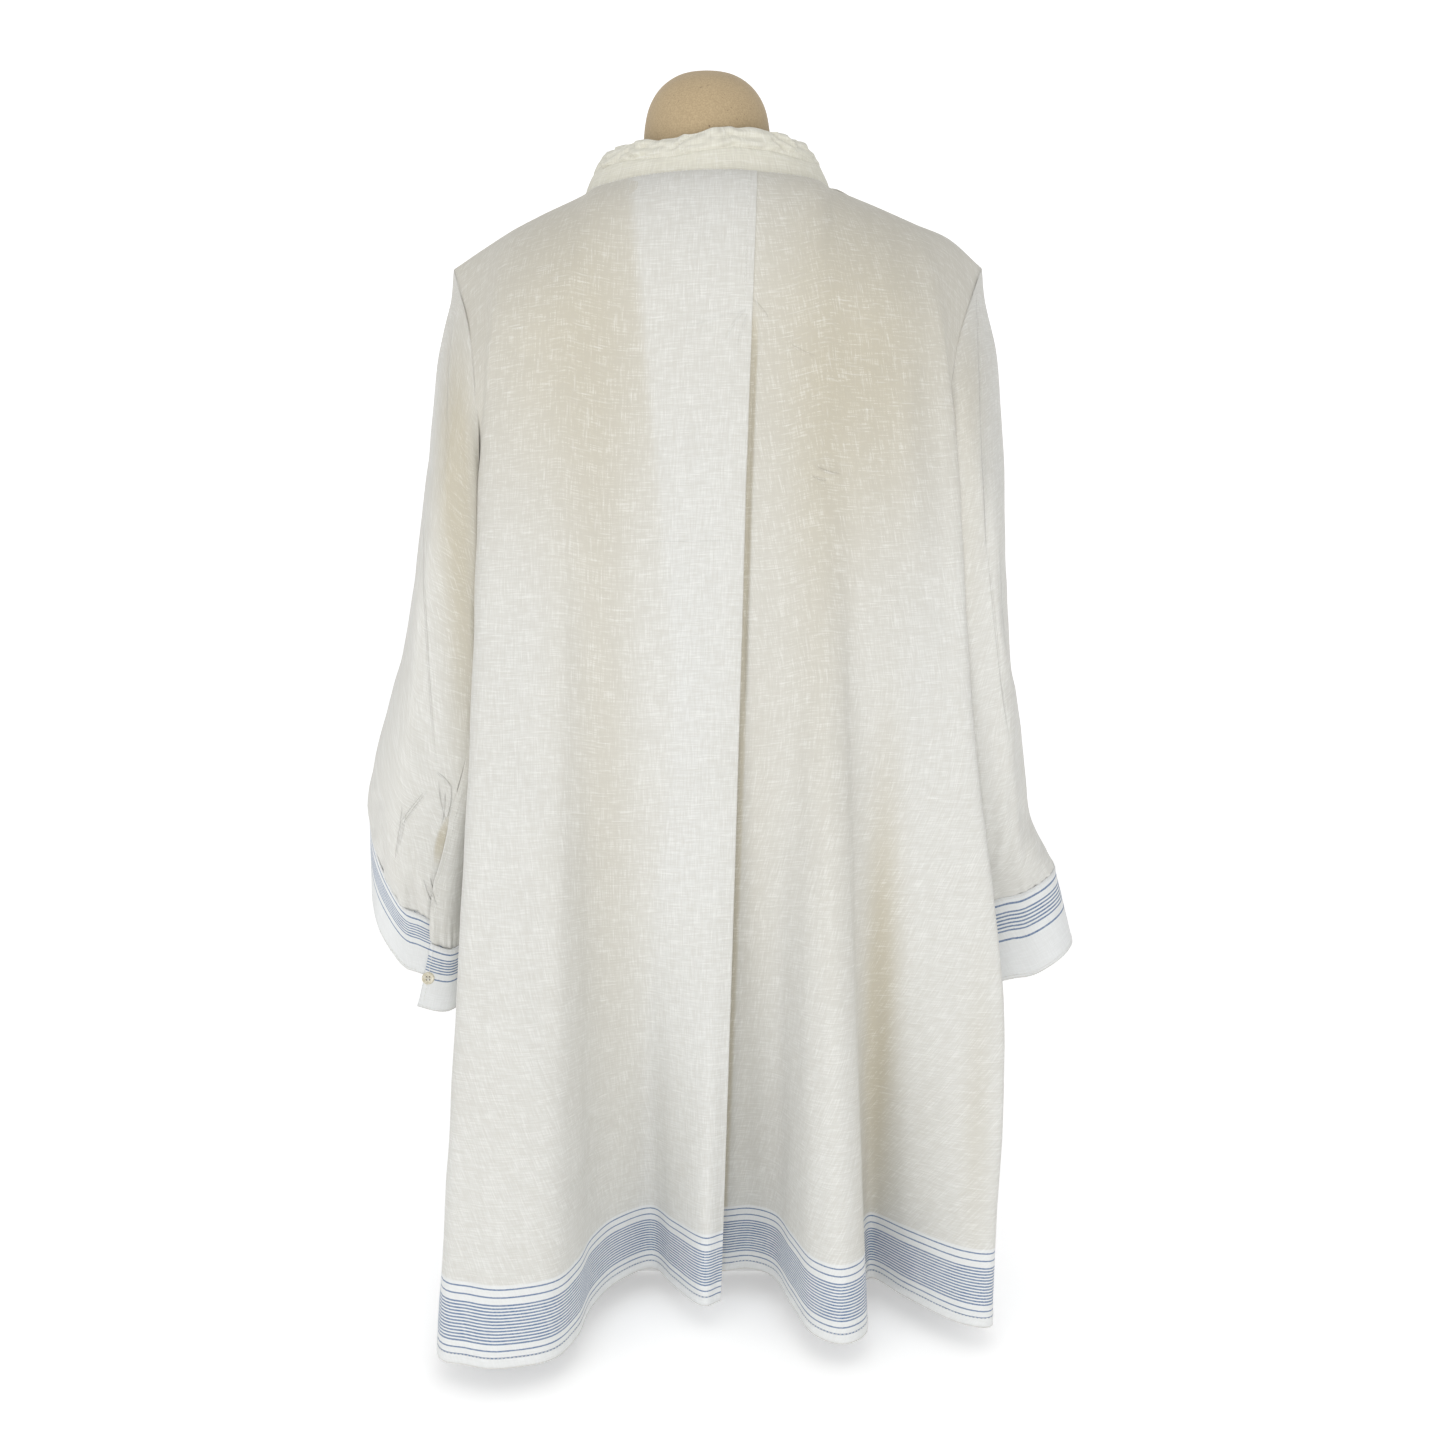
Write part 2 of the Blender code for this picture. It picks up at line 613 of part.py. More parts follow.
def collar():
    """A stand collar on the neckline, lapped at the centre front, leaning in towards its
    crumpled upper edge."""
    pleat_edge = BACK_LEFT_FOLDS[-1][1]
    grid = []
    for t in COLLAR_LEVELS:
        line = []
        for turn in np.linspace(-COLLAR_LAP, TAU + COLLAR_LAP, COLLAR_COLUMNS):
            c, s = math.cos(turn), math.sin(turn)
            lap = COLLAR_LAP_RISE * ease((turn - TAU + 4 * COLLAR_LAP) / (3 * COLLAR_LAP))
            roll = COLLAR_ROLL * math.sin(math.pi * t) * (t == COLLAR_LEVELS[3])
            inward = COLLAR_LEAN * t + roll
            half = NECK_HALF_WIDTH - inward + lap
            depth = (NECK_FRONT_DEPTH if c > 0 else NECK_BACK_DEPTH) - 0.6 * inward + lap
            x, y = half * s, depth * c
            base = SIDE_NECK_HEIGHT + SHOULDER_TILT * x + COLLAR_SEAT
            base += (BACK_NECK_RISE if c < 0 else -FRONT_NECK_DROP) * c * c
            dip = ease((x - pleat_edge) / 0.008) * (1 - ease((x - pleat_edge - 0.008) / 0.035))
            base -= COLLAR_DIP * dip * (c < 0) * (1 - t)
            ripple = 0.0022 * math.sin(5 * turn + 0.8) * math.sin(2 * turn)
            ripple += 0.0012 * math.sin(9 * turn)
            height = COLLAR_HEIGHT - 0.003 * max(c, 0)
            line.append((x, y, base + height * t + ripple * ease(t)))
        grid.append(line)
    return np.array(grid)


def placket(grid, outward, wall):
    """A placket strip over or under the slit of the front, from the panel's own points."""
    normal = normals_of(grid, False)
    normal *= np.sign(normal[..., 1:2].mean())
    x = np.array([-PLACKET_WIDTH / 2, -SLIT_WIDTH / 2, SLIT_WIDTH / 2, PLACKET_WIDTH / 2])
    lines = []
    for row in range(len(grid)):
        base, lift = at_x(grid[row], grid[row], x), at_x(grid[row], normal[row], x)
        lift /= np.linalg.norm(lift, axis=1, keepdims=True)
        lines.append(base + lift * (outward * (WALL / 2 + LIE_GAP + wall / 2)))
    lines = np.array(lines)
    bottom = np.interp(PLACKET_LENGTH, lines[0, 1, 2] - lines[:, 1, 2], np.arange(len(lines)))
    places = [PLACKET_START, *range(1, math.ceil(bottom)), bottom]
    strip = []
    for place in places:
        row = min(int(place), len(lines) - 2)
        strip.append(lines[row] + (lines[row + 1] - lines[row]) * (place - row))
    return np.array(strip)


def button(name, centre, outward):
    """A turned button with a raised rim, lying on the cloth with its face outward."""
    profile = (
        (0.0, 0.0),
        (0.8, 0.0),
        (1.0, 0.35),
        (1.0, 0.7),
        (0.86, 1.0),
        (0.66, 0.80),
        (0.0, 0.78),
    )
    sides = 14
    outward = np.asarray(outward, float) / np.linalg.norm(outward)
    across = np.cross(outward, (0, 0, 1.0))
    across /= np.linalg.norm(across)
    up = np.cross(across, outward)
    points = [np.asarray(centre, float)]
    for radius, rise in profile[1:-1]:
        for k in range(sides):
            turn = TAU * k / sides
            rim = across * math.cos(turn) + up * math.sin(turn)
            points.append(centre + rim * radius * BUTTON_RADIUS + outward * rise * BUTTON_THICK)
    points.append(centre + outward * profile[-1][1] * BUTTON_THICK)
    faces = []
    rings = len(profile) - 2
    for k in range(sides):
        n = (k + 1) % sides
        faces.append((0, 1 + n, 1 + k))
        for ring in range(rings - 1):
            a, b = 1 + ring * sides, 1 + (ring + 1) * sides
            faces.append((a + k, a + n, b + n, b + k))
        last = 1 + (rings - 1) * sides
        faces.append((last + k, last + n, len(points) - 1))
    corners = np.array([[points[f[0]], points[f[1]], points[f[2]]] for f in faces])
    middle = np.mean(points, axis=0)
    outside = np.einsum(
        "ij,ij->i",
        np.cross(corners[:, 1] - corners[:, 0], corners[:, 2] - corners[:, 0]),
        corners.mean(axis=1) - middle,
    )
    if outside.sum() < 0:
        faces = [face[::-1] for face in faces]
    return add_mesh(name, points, faces, shell_button(), 30)


def shoulder_reach(height, sign):
    """Half width of the form where its shoulder passes a height, just inside the cloth."""
    line = height + FORM_SHOULDER_GAP - SIDE_NECK_HEIGHT
    return NECK_HALF_WIDTH + (
        -line + sign * SHOULDER_TILT * NECK_HALF_WIDTH
    ) / (SHOULDER_SLOPE - sign * SHOULDER_TILT)


def dress_form():
    """The limbless form: a closed lathe-like body of level rings, rounded at the neck."""
    rings = []
    for height, half, depth in FORM_NECK:
        rings.append((height, -half, half, depth))
    for height, depth in FORM_SHOULDER_DEPTHS:
        rings.append((height, -shoulder_reach(height, -1), shoulder_reach(height, 1), depth))
    for height, half, depth in FORM_BODY:
        rings.append((height, -half, half, depth))
    sides = 32
    points = [np.array([0.0, 0.0, FORM_NECK[0][0] + 0.001])]
    for height, low, high, depth in rings:
        for k in range(sides):
            turn = TAU * k / sides
            x = (low + high) / 2 + (high - low) / 2 * math.cos(turn)
            points.append((x, depth * math.sin(turn), height))
    points.append((0.0, 0.0, FORM_BOTTOM))
    faces = []
    for k in range(sides):
        n = (k + 1) % sides
        faces.append((0, 1 + k, 1 + n))
        for ring in range(len(rings) - 1):
            a, b = 1 + ring * sides, 1 + (ring + 1) * sides
            faces.append((a + k, b + k, b + n, a + n))
        last = 1 + (len(rings) - 1) * sides
        faces.append((last + n, last + k, len(points) - 1))
    return add_mesh("dress_form", points, faces, form_cloth(), 60)


def prism(name, rings, finish):
    """A closed solid from level rings with the same number of points, lowest first."""
    sides = len(rings[0])
    points = [point for ring in rings for point in ring]
    top = (len(rings) - 1) * sides
    faces = [tuple(range(sides))[::-1], tuple(range(top, top + sides))]
    for ring in range(len(rings) - 1):
        for k in range(sides):
            n = (k + 1) % sides
            a, b = ring * sides, (ring + 1) * sides
            faces.append((a + k, a + n, b + n, b + k))
    return add_mesh(name, points, faces, finish, 30)


def stand_post():
    low, high, bevel = FOOT_THICK + TOUCH_GAP, FORM_BOTTOM - TOUCH_GAP, 0.0005
    inner = POST_RADIUS - bevel
    profile = ((inner, low), (POST_RADIUS, low + bevel), (POST_RADIUS, high - bevel), (inner, high))
    turns = TAU * np.arange(24) / 24
    rings = [[(r * math.cos(turn), r * math.sin(turn), z) for turn in turns] for r, z in profile]
    return prism("stand_post", rings, stand_paint())


def stand_base():
    rings = [[(x, y, z) for x, y in FOOT_OUTLINE] for z in (0.0, FOOT_THICK)]
    return prism("stand_base", rings, stand_paint())


def surface_normal(grid, row, column, towards):
    normal = normals_of(grid, False)[row, column]
    return normal if np.dot(normal, towards) > 0 else -normal


def build():
    clear_scene()
    worn = bpy.data.objects.new("worn_on_form", None)
    worn.location = (0, -STAND_BACK, 0)
    bpy.context.collection.objects.link(worn)
    made = []
    made.append(cloth("back_panel", back_panel(), linen()))
    front, front_faces = front_panel()
    made.append(cloth("front_panel", front, linen(), keep=front_faces))
    seat = WALL / 2 + LIE_GAP * 2
    for side in ("left", "right"):
        grid, sleeve_faces = sleeve(side)
        made.append(cloth("sleeve_" + side, grid, linen(), closed=True, keep=sleeve_faces))
        band = cuff(side)
        made.append(cloth("cuff_" + side, band, linen()))
        normal = surface_normal(band, 2, 1, band[2, 1] - band[2, 15])
        spot = 0.3 * band[2, 1] + 0.7 * band[2, 2]
        made.append(button("cuff_button_" + side, spot + normal * seat, normal))
    made.append(cloth("collar", collar(), linen(), wall=COLLAR_WALL))
    over, under = placket(front, 1, WALL), placket(front, -1, WALL)
    made.append(cloth("placket_over", over, linen()))
    made.append(cloth("placket_under", under, linen()))
    for k in range(FRONT_BUTTONS):
        t = (k + 0.5) / FRONT_BUTTONS * (len(over) - 1)
        row = int(t)
        spot = over[row, 2] + (over[row + 1, 2] - over[row, 2]) * (t - row)
        normal = surface_normal(over, row, 2, (0, 1, 0))
        made.append(button(f"placket_button_{k + 1}", spot + normal * seat, normal))
    made.append(dress_form())
    for thing in made:
        thing.parent = worn
    stand_post()
    stand_base()


build()
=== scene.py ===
import math

import bmesh
import bpy
import numpy as np
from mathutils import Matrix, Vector


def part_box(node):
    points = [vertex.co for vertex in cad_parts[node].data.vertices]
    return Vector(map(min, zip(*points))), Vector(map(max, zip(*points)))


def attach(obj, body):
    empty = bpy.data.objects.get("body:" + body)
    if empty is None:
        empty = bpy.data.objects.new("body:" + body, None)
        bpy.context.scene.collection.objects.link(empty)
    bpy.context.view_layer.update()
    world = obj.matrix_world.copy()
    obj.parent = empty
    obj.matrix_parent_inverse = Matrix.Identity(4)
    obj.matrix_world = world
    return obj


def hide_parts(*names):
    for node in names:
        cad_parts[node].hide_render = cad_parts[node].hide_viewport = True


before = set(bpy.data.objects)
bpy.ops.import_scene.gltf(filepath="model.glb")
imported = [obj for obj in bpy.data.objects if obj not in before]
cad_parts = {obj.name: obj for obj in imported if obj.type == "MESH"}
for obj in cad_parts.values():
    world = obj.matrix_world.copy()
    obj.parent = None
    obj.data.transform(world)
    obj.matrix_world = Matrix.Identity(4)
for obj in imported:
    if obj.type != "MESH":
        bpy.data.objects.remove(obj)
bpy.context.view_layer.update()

turnAll = 2 * math.pi

# The worn tunic is shaped about the middle of the form, and its hem height comes from the frame
formLow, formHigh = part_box("dress_form")
wornY = (formLow.y + formHigh.y) / 2
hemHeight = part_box("back_panel")[0].z
print("frame loaded: hem at", round(hemHeight, 4), "m, form", round(wornY, 4), "m behind the post")




def easeStep(t):
    # Formula: 3 t^2 - 2 t^3, with t kept between 0 and 1
    t = np.clip(t, 0, 1)
    return t * t * (3 - 2 * t)


def quarterRound(t):
    # Formula: the height of a quarter circle, the root of 1 - (1 - t)^2
    return np.sqrt(1 - (1 - np.clip(t, 0, 1)) ** 2)


def throughColumns(control, perSpan):
    # Formula: Catmull-Rom along the grid's columns, four neighbours blended by cubic weights in t
    first = 2 * control[:, :1] - control[:, 1:2]
    last = 2 * control[:, -1:] - control[:, -2:-1]
    full = np.concatenate([first, control, last], axis=1)
    spans = control.shape[1] - 1
    a, b, c, d = (full[:, k : k + spans][:, :, None] for k in range(4))
    t = (np.arange(perSpan) / perSpan)[None, None, :, None]
    made = 0.5 * (2 * b + (c - a) * t + (2 * a - 5 * b + 4 * c - d) * t**2)
    made = made + 0.5 * (3 * b - a - 3 * c + d) * t**3
    made = made.reshape(control.shape[0], spans * perSpan, control.shape[2])
    return np.concatenate([made, control[:, -1:]], axis=1)


def throughRows(control, perSpan):
    # Formula: the same curve down the rows, by turning the grid on its side
    return np.swapaxes(throughColumns(np.swapaxes(control, 0, 1), perSpan), 0, 1)


def gridNormals(grid, closed=False):
    # Formula: the cross product of the steps down and along the grid, made one long
    down = np.gradient(grid, axis=0)
    if closed:
        along = np.roll(grid, -1, axis=1) - np.roll(grid, 1, axis=1)
    else:
        along = np.gradient(grid, axis=1)
    normal = np.cross(down, along)
    return normal / np.maximum(np.linalg.norm(normal, axis=2, keepdims=True), 1e-12)


def readRows(grid, values, x):
    # Formula: each row's values, read at the places x by straight lines between its points
    shift = np.arange(len(grid))[:, None] * 10.0
    at = (x + shift).ravel()
    known = (grid[..., 0] + shift).ravel()
    read = [np.interp(at, known, values[..., k].ravel()) for k in range(values.shape[2])]
    return np.stack(read, axis=-1).reshape(*x.shape, values.shape[2])


def runLength(grid, axis):
    # Formula: the sum of the distances between neighbours, starting from 0
    step = np.linalg.norm(np.diff(grid, axis=axis), axis=2)
    start = np.zeros_like(step[:1] if axis == 0 else step[:, :1])
    return np.cumsum(np.concatenate([start, step], axis=axis), axis=axis)


def clothUv(grid, zeroColumn=0):
    # Formula: u is the length along the row from zeroColumn, v the length up from the last row
    across = runLength(grid, 1)
    down = runLength(grid, 0)
    return np.stack([across - across[:, zeroColumn : zeroColumn + 1], down[-1:] - down], axis=-1)


def grainUv(grid, zeroColumn, free=0.07, spread=14):
    # Formula: above the border the lengths down neighbouring columns are averaged by a bell curve,
    # so that the weft runs straight across the folds
    uv = clothUv(grid, zeroColumn)
    place = np.arange(grid.shape[1])
    bell = np.exp(-(((place[:, None] - place[None]) / spread) ** 2))
    level = uv[..., 1] @ (bell / bell.sum(axis=1, keepdims=True)).T
    uv[..., 1] += (level - uv[..., 1]) * easeStep((uv[..., 1] - free) / 0.15)
    return uv


def crumple(uv, amount, seed):
    # Formula: fourteen sine waves over the cloth, each with its own direction, length and start,
    # scaled to the amount's spread
    rng = np.random.default_rng(seed)
    ways = zip(rng.uniform(0, np.pi, 14), rng.uniform(0.022, 0.075, 14), rng.uniform(0, turnAll, 14))
    total = np.zeros(uv.shape[:2])
    for way, length, start in ways:
        along = uv[..., 0] * math.cos(way) + 0.6 * uv[..., 1] * math.sin(way)
        total += length * np.sin(along * turnAll / length + start)
    return amount * total / total.std()


def creaseDepth(points, table):
    # Formula: the sum over creases of depth times exp(-(d / width)^2), where d is the distance in
    # the x-z plane from the crease's line, which bows sideways by a sine and fades at both ends
    total = np.zeros(points.shape[:-1])
    for x0, z0, x1, z1, bow, depth, width in table:
        length = math.hypot(x1 - x0, z1 - z0)
        along = np.array([x1 - x0, z1 - z0]) / length
        px, pz = points[..., 0] - x0, points[..., 2] - z0
        t = (px * along[0] + pz * along[1]) / length
        off = px * along[1] - pz * along[0] - bow * np.sin(np.pi * np.clip(t, 0, 1))
        fade = easeStep((t + 0.12) / 0.3) * easeStep((1.12 - t) / 0.3)
        total += depth * fade * np.exp(-((off / width) ** 2))
    return total




def gridFaces(rows, columns, start):
    # Formula: each square joins point (i, j) with its neighbours below and beside it
    index = start + np.arange(rows * columns).reshape(rows, columns)
    corners = [index[:-1, :-1], index[1:, :-1], index[1:, 1:], index[:-1, 1:]]
    return np.stack(corners, axis=-1).reshape(-1, 4)


def addSurface(name, patches, finish, node=None, wall=None, merge=2e-5, rideOn="root"):
    # One piece from grids of points with their UVs and their values of see-through tan and painted shade, welded
    # where they meet
    points, uvs, backing, faces, count = [], [], [], [], 0
    for patch in patches:
        grid = patch["grid"] + np.array([0, wornY, 0])
        rows, columns = grid.shape[:2]
        points.append(grid.reshape(-1, 3))
        uvs.append(patch.get("uv", np.zeros((rows, columns, 2))).reshape(-1, 2))
        backing.append(np.broadcast_to(patch.get("backing", 0.0), (rows, columns)).reshape(-1))
        squares = gridFaces(rows, columns, count)
        faces.append(squares[:, ::-1] if patch.get("flip") else squares)
        count += rows * columns
    points, uvs = np.concatenate(points), np.concatenate(uvs)
    backing, faces = np.concatenate(backing), np.concatenate(faces)
    mesh = bpy.data.meshes.new(name)
    mesh.from_pydata(points.tolist(), [], faces.tolist())
    mesh.uv_layers.new(name="cut").data.foreach_set("uv", uvs[faces.reshape(-1)].reshape(-1))
    layer = mesh.attributes.new("backing", "FLOAT", "POINT")
    layer.data.foreach_set("value", backing.astype(np.float32))
    work = bmesh.new()
    work.from_mesh(mesh)
    bmesh.ops.remove_doubles(work, verts=work.verts, dist=merge)
    work.to_mesh(mesh)
    work.free()
    mesh.shade_smooth()
    mesh.materials.append(finish)
    piece = bpy.data.objects.new(name, mesh)
    bpy.context.scene.collection.objects.link(piece)
    if wall:
        solidify = piece.modifiers.new("wall", "SOLIDIFY")
        solidify.thickness = wall
        solidify.offset = 0
    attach(piece, rideOn)
    if node:
        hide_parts(node)
    return piece


class Sock:
    # A socket that takes part in Python sums: each operator adds its own Math node
    def __init__(self, sheet, socket):
        self.sheet = sheet
        self.socket = socket

    def math(self, operation, *others):
        values = [self, *others]
        node = self.sheet.node("ShaderNodeMath", {"operation": operation}, dict(enumerate(values)))
        return Sock(self.sheet, node.outputs[0])

    def __add__(self, other):
        return self.math("ADD", other)

    def __sub__(self, other):
        return self.math("SUBTRACT", other)

    def __mul__(self, other):
        return self.math("MULTIPLY", other)

    def __truediv__(self, other):
        return self.math("DIVIDE", other)

    def __rsub__(self, other):
        node = self.sheet.node("ShaderNodeMath", {"operation": "SUBTRACT"}, {0: other, 1: self})
        return Sock(self.sheet, node.outputs[0])

    __radd__ = __add__
    __rmul__ = __mul__

    def above(self, level):
        return self.math("GREATER_THAN", level)

    def below(self, level):
        return self.math("LESS_THAN", level)

    def smooth(self, low, high):
        settings = {"interpolation_type": "SMOOTHSTEP"}
        node = self.sheet.node("ShaderNodeMapRange", settings, {0: self, 1: low, 2: high})
        return Sock(self.sheet, node.outputs[0])


class Finish:
    # A material's node sheet, with one method that adds any node
    def __init__(self, name):
        self.material = bpy.data.materials.new(name)
        self.material.use_nodes = True
        self.tree = self.material.node_tree
        self.shader = self.tree.nodes["Principled BSDF"]

    def node(self, kind, settings=None, values=None):
        made = self.tree.nodes.new(kind)
        for key, value in (settings or {}).items():
            if key == "stops":
                for place, stop in enumerate(value):
                    if place >= len(made.color_ramp.elements):
                        made.color_ramp.elements.new(stop[0])
                    made.color_ramp.elements[place].position = stop[0]
                    made.color_ramp.elements[place].color = stop[1]
            else:
                setattr(made, key, value)
        for key, value in (values or {}).items():
            self.feed(made.inputs[key], value)
        return made

    def feed(self, target, value):
        if isinstance(value, Sock):
            self.tree.links.new(value.socket, target)
        else:
            target.default_value = value

    def out(self, node, which=0):
        return Sock(self, node.outputs[which])

    def mix(self, share, first, second):
        values = {0: share, 6: first, 7: second}
        return self.out(self.node("ShaderNodeMix", {"data_type": "RGBA"}, values), 2)

    def noise(self, vector, scale, detail=2.0, roughness=0.5):
        values = {"Vector": vector, "Scale": scale, "Detail": detail, "Roughness": roughness}
        return self.out(self.node("ShaderNodeTexNoise", {}, values))

    def vector(self, x, y, z=0.0):
        return self.out(self.node("ShaderNodeCombineXYZ", {}, {0: x, 1: y, 2: z}))

    def bump(self, height, strength, distance):
        values = {"Height": height, "Strength": strength, "Distance": distance}
        self.feed(self.shader.inputs["Normal"], self.out(self.node("ShaderNodeBump", {}, values)))

    def finish(self, colour, roughness, **constants):
        self.feed(self.shader.inputs["Base Color"], colour)
        self.feed(self.shader.inputs["Roughness"], roughness)
        for key, value in constants.items():
            self.shader.inputs[key.replace("_", " ")].default_value = value
        return self.material


linenLooks = {
    "ivory": (0.655, 0.66, 0.642, 1),
    "collar": (0.705, 0.692, 0.600, 1),
    "slubLight": (0.84, 0.84, 0.81, 1),
    "thin": (0.50, 0.475, 0.42, 1),
    # warm tan where the form shows through the sheer cloth, used also as painted shade
    "backed": (0.50, 0.462, 0.365, 1),
    "border": (0.765, 0.787, 0.805, 1),
    "stripeBlue": (0.078, 0.147, 0.280, 1),
    # distance between yarns and length of an uneven place in one, fine yarns and then thick ones
    "fineYarns": (0.0007, 0.013),
    "thickYarns": (0.0010, 0.019),
    "slubShare": 0.24,
    "thinShare": 0.30,
}


def yarns(sheet, along, across, size, seed):
    # Each yarn, counted in whole steps across, has its own noise along its length
    count = (across / size[0]).math("FLOOR") * 1.37
    return sheet.noise(sheet.vector(along / size[1], count, seed), 1.0, 1.0)


def stripeMask(v, lines):
    # Formula: 1 inside each line's half width from its middle, summed over the lines
    total = None
    for middle, half in lines:
        one = 1 - (v - middle).math("ABSOLUTE").smooth(half - 0.00015, half + 0.00015)
        total = one if total is None else total + one
    return total.math("MINIMUM", 1.0)


def sharpCreases(sheet, table):
    # Formula: as creaseDepth, but each line is read at every shaded point of the cloth's back, its
    # height falling away on both sides by a smooth step
    place = sheet.out(sheet.node("ShaderNodeTexCoord"), 3)
    parts = sheet.node("ShaderNodeSeparateXYZ", {}, {0: place})
    x, y, z = (sheet.out(parts, k) for k in range(3))
    total = 0.0
    for x0, z0, x1, z1, bow, depth, width in table:
        length = math.hypot(x1 - x0, z1 - z0)
        alongX, alongZ = (x1 - x0) / length, (z1 - z0) / length
        px, pz = x - x0, z - z0
        t = (px * alongX + pz * alongZ) / length
        off = px * alongZ - pz * alongX - t * (1 - t) * (4 * bow)
        fade = t.smooth(-0.05, 0.25) * (1 - t.smooth(0.75, 1.05))
        total = fade * (1 - off.math("ABSOLUTE").smooth(0.0, width)) * depth + total
    return total * (1 - y.smooth(wornY - 0.03, wornY))


def linen(name, stripes=(), border=None, hem=0.0, ground="ivory", creases=()):
    # Linen: crossed yarns with slubs, warmer where something lies behind the sheer cloth and where shade is painted
    # in valleys, gaps and turned-away sides, and woven stripes
    looks = linenLooks
    sheet = Finish(name)
    uv = sheet.node("ShaderNodeUVMap", {"uv_map": "cut"})
    parts = sheet.node("ShaderNodeSeparateXYZ", {}, {0: sheet.out(uv)})
    u, v = sheet.out(parts, 0), sheet.out(parts, 1)
    backing = sheet.out(sheet.node("ShaderNodeAttribute", {"attribute_name": "backing"}), 2)
    # The yarns waver a little, so no line of the weave is quite straight
    waver = sheet.noise(sheet.vector(u, v), 12.0, 1.0)
    across, down = u + waver * 0.0010, v + waver * 0.0010
    fine = yarns(sheet, across, down, looks["fineYarns"], 1.0)
    fine = fine + yarns(sheet, down, across, looks["fineYarns"], 5.0)
    weft = yarns(sheet, across, down, looks["thickYarns"], 9.0)
    warp = yarns(sheet, down, across, looks["thickYarns"], 13.0)
    slubs = weft.smooth(0.58, 0.78) + warp.smooth(0.60, 0.80)
    patchy = sheet.noise(sheet.vector(u, v, 3.0), 11.0, 3.0)
    # The attribute mixes in the tan seen through the cloth and painted shade from the same colour
    colour = sheet.mix(backing, looks[ground], looks["backed"])
    colour = sheet.mix(patchy.smooth(0.35, 0.75) * 0.10, colour, looks["thin"])
    colour = sheet.mix((1 - fine.smooth(0.72, 1.12)) * looks["thinShare"], colour, looks["thin"])
    colour = sheet.mix(fine.smooth(1.02, 1.35) * 0.34, colour, looks["slubLight"])
    colour = sheet.mix((slubs * looks["slubShare"]).math("MINIMUM", 1.0), colour, looks["slubLight"])
    turned = v.smooth(hem, hem + 0.0006) if hem else 0.0
    if border:
        between = v.smooth(border[0], border[0] + 0.002) * (1 - v.smooth(border[1], border[1] + 0.002))
        colour = sheet.mix(between * 0.55, colour, looks["border"])
    if stripes:
        fray = (fine - 1.0) * 0.0004
        mask = stripeMask(v + fray, stripes)
        worn = 0.86 + 0.5 * (warp - 0.5)
        colour = sheet.mix((mask * worn).math("MINIMUM", 1.0), colour, looks["stripeBlue"])
    crumple = sheet.noise(sheet.vector(u, v, 8.0), 55.0, 2.0)
    height = slubs * 0.35 + fine * 0.3 + crumple * 1.5 - turned * 1.2
    if creases:
        height = height + sharpCreases(sheet, creases) * 1000.0
    sheet.bump(height, 0.5, 0.0006)
    return sheet.finish(colour, 0.88, Sheen_Weight=0.15, Sheen_Roughness=0.5)


hemStripes = (
    [(0.0085, 0.0006), (0.0140, 0.0006)]
    + [(0.0196 + 0.0026 * k, 0.00066) for k in range(13)]
    + [(0.0572, 0.0006), (0.0636, 0.0006)]
)
cuffStripes = [(0.0290, 0.0007), (0.0545, 0.0007)] + [(0.0355 + 0.0026 * k, 0.0006) for k in range(6)]
# Sharp creases: x and z of both ends, bow, height in metres of paper-thin ridge (below 0 is a
# trough), half width
backSharp = [
    (0.031, 0.829, 0.013, 0.803, 0.0016, 0.0018, 0.0016),
    (0.032, 0.826, 0.023, 0.798, 0.0012, -0.0016, 0.0014),
    (0.030, 0.824, -0.018, 0.810, 0.0020, 0.0012, 0.0018),
    (0.033, 0.834, 0.045, 0.820, -0.0010, 0.0024, 0.0013),
    (0.061, 0.802, 0.080, 0.793, 0.0006, 0.0018, 0.0012),
    (-0.050, 0.6595, 0.024, 0.6605, 0.0004, -0.0012, 0.0012),
    (0.080, 0.714, 0.099, 0.708, 0.001, 0.0034, 0.0016),
    (0.078, 0.708, 0.090, 0.704, 0.001, -0.0034, 0.0014),
]
sleeveSharp = [
    (-0.2190, 0.462, -0.2460, 0.426, 0.0010, -0.0034, 0.0011),
    (-0.2215, 0.463, -0.2470, 0.430, 0.0010, 0.0026, 0.0010),
    (-0.2440, 0.429, -0.2490, 0.404, 0.0, -0.0034, 0.0010),
    (-0.2400, 0.450, -0.2480, 0.412, -0.0010, -0.0034, 0.0010),
    (-0.2380, 0.446, -0.2460, 0.414, -0.0010, 0.0026, 0.0009),
    (-0.1980, 0.838, -0.1975, 0.735, 0.0008, -0.0030, 0.0014),
    (-0.2165, 0.715, -0.2115, 0.478, 0.0014, 0.0032, 0.0012),
    (-0.2115, 0.478, -0.2010, 0.466, -0.0012, 0.0056, 0.0012),
    (-0.2010, 0.468, -0.2060, 0.440, -0.0016, 0.0056, 0.0012),
    (-0.2095, 0.470, -0.2055, 0.438, 0.0010, -0.0050, 0.0012),
    (-0.2060, 0.462, -0.2100, 0.436, -0.0010, 0.0050, 0.0010),
    (-0.2270, 0.388, -0.2210, 0.364, 0.0006, -0.0050, 0.0012),
    (-0.2225, 0.390, -0.2180, 0.364, 0.0006, 0.0040, 0.0011),
    (0.2105, 0.862, 0.2085, 0.735, 0.0008, -0.0034, 0.0014),
    (0.2085, 0.745, 0.2140, 0.645, 0.0006, -0.0034, 0.0014),
    (0.2140, 0.655, 0.2370, 0.500, 0.0020, -0.0030, 0.0014),
    (0.2220, 0.660, 0.2370, 0.545, 0.0016, 0.0044, 0.0016),
]
linenBody = linen("linenBody", hemStripes, (0.0, 0.066), 0.0078, creases=backSharp)
linenCuff = linen("linenCuff", cuffStripes, (0.0, 0.060), 0.0020)
linenSleeve = linen("linenSleeve", creases=sleeveSharp)
linenPlain = linen("linenPlain")
linenCollar = linen("linenCollar", ground="collar")


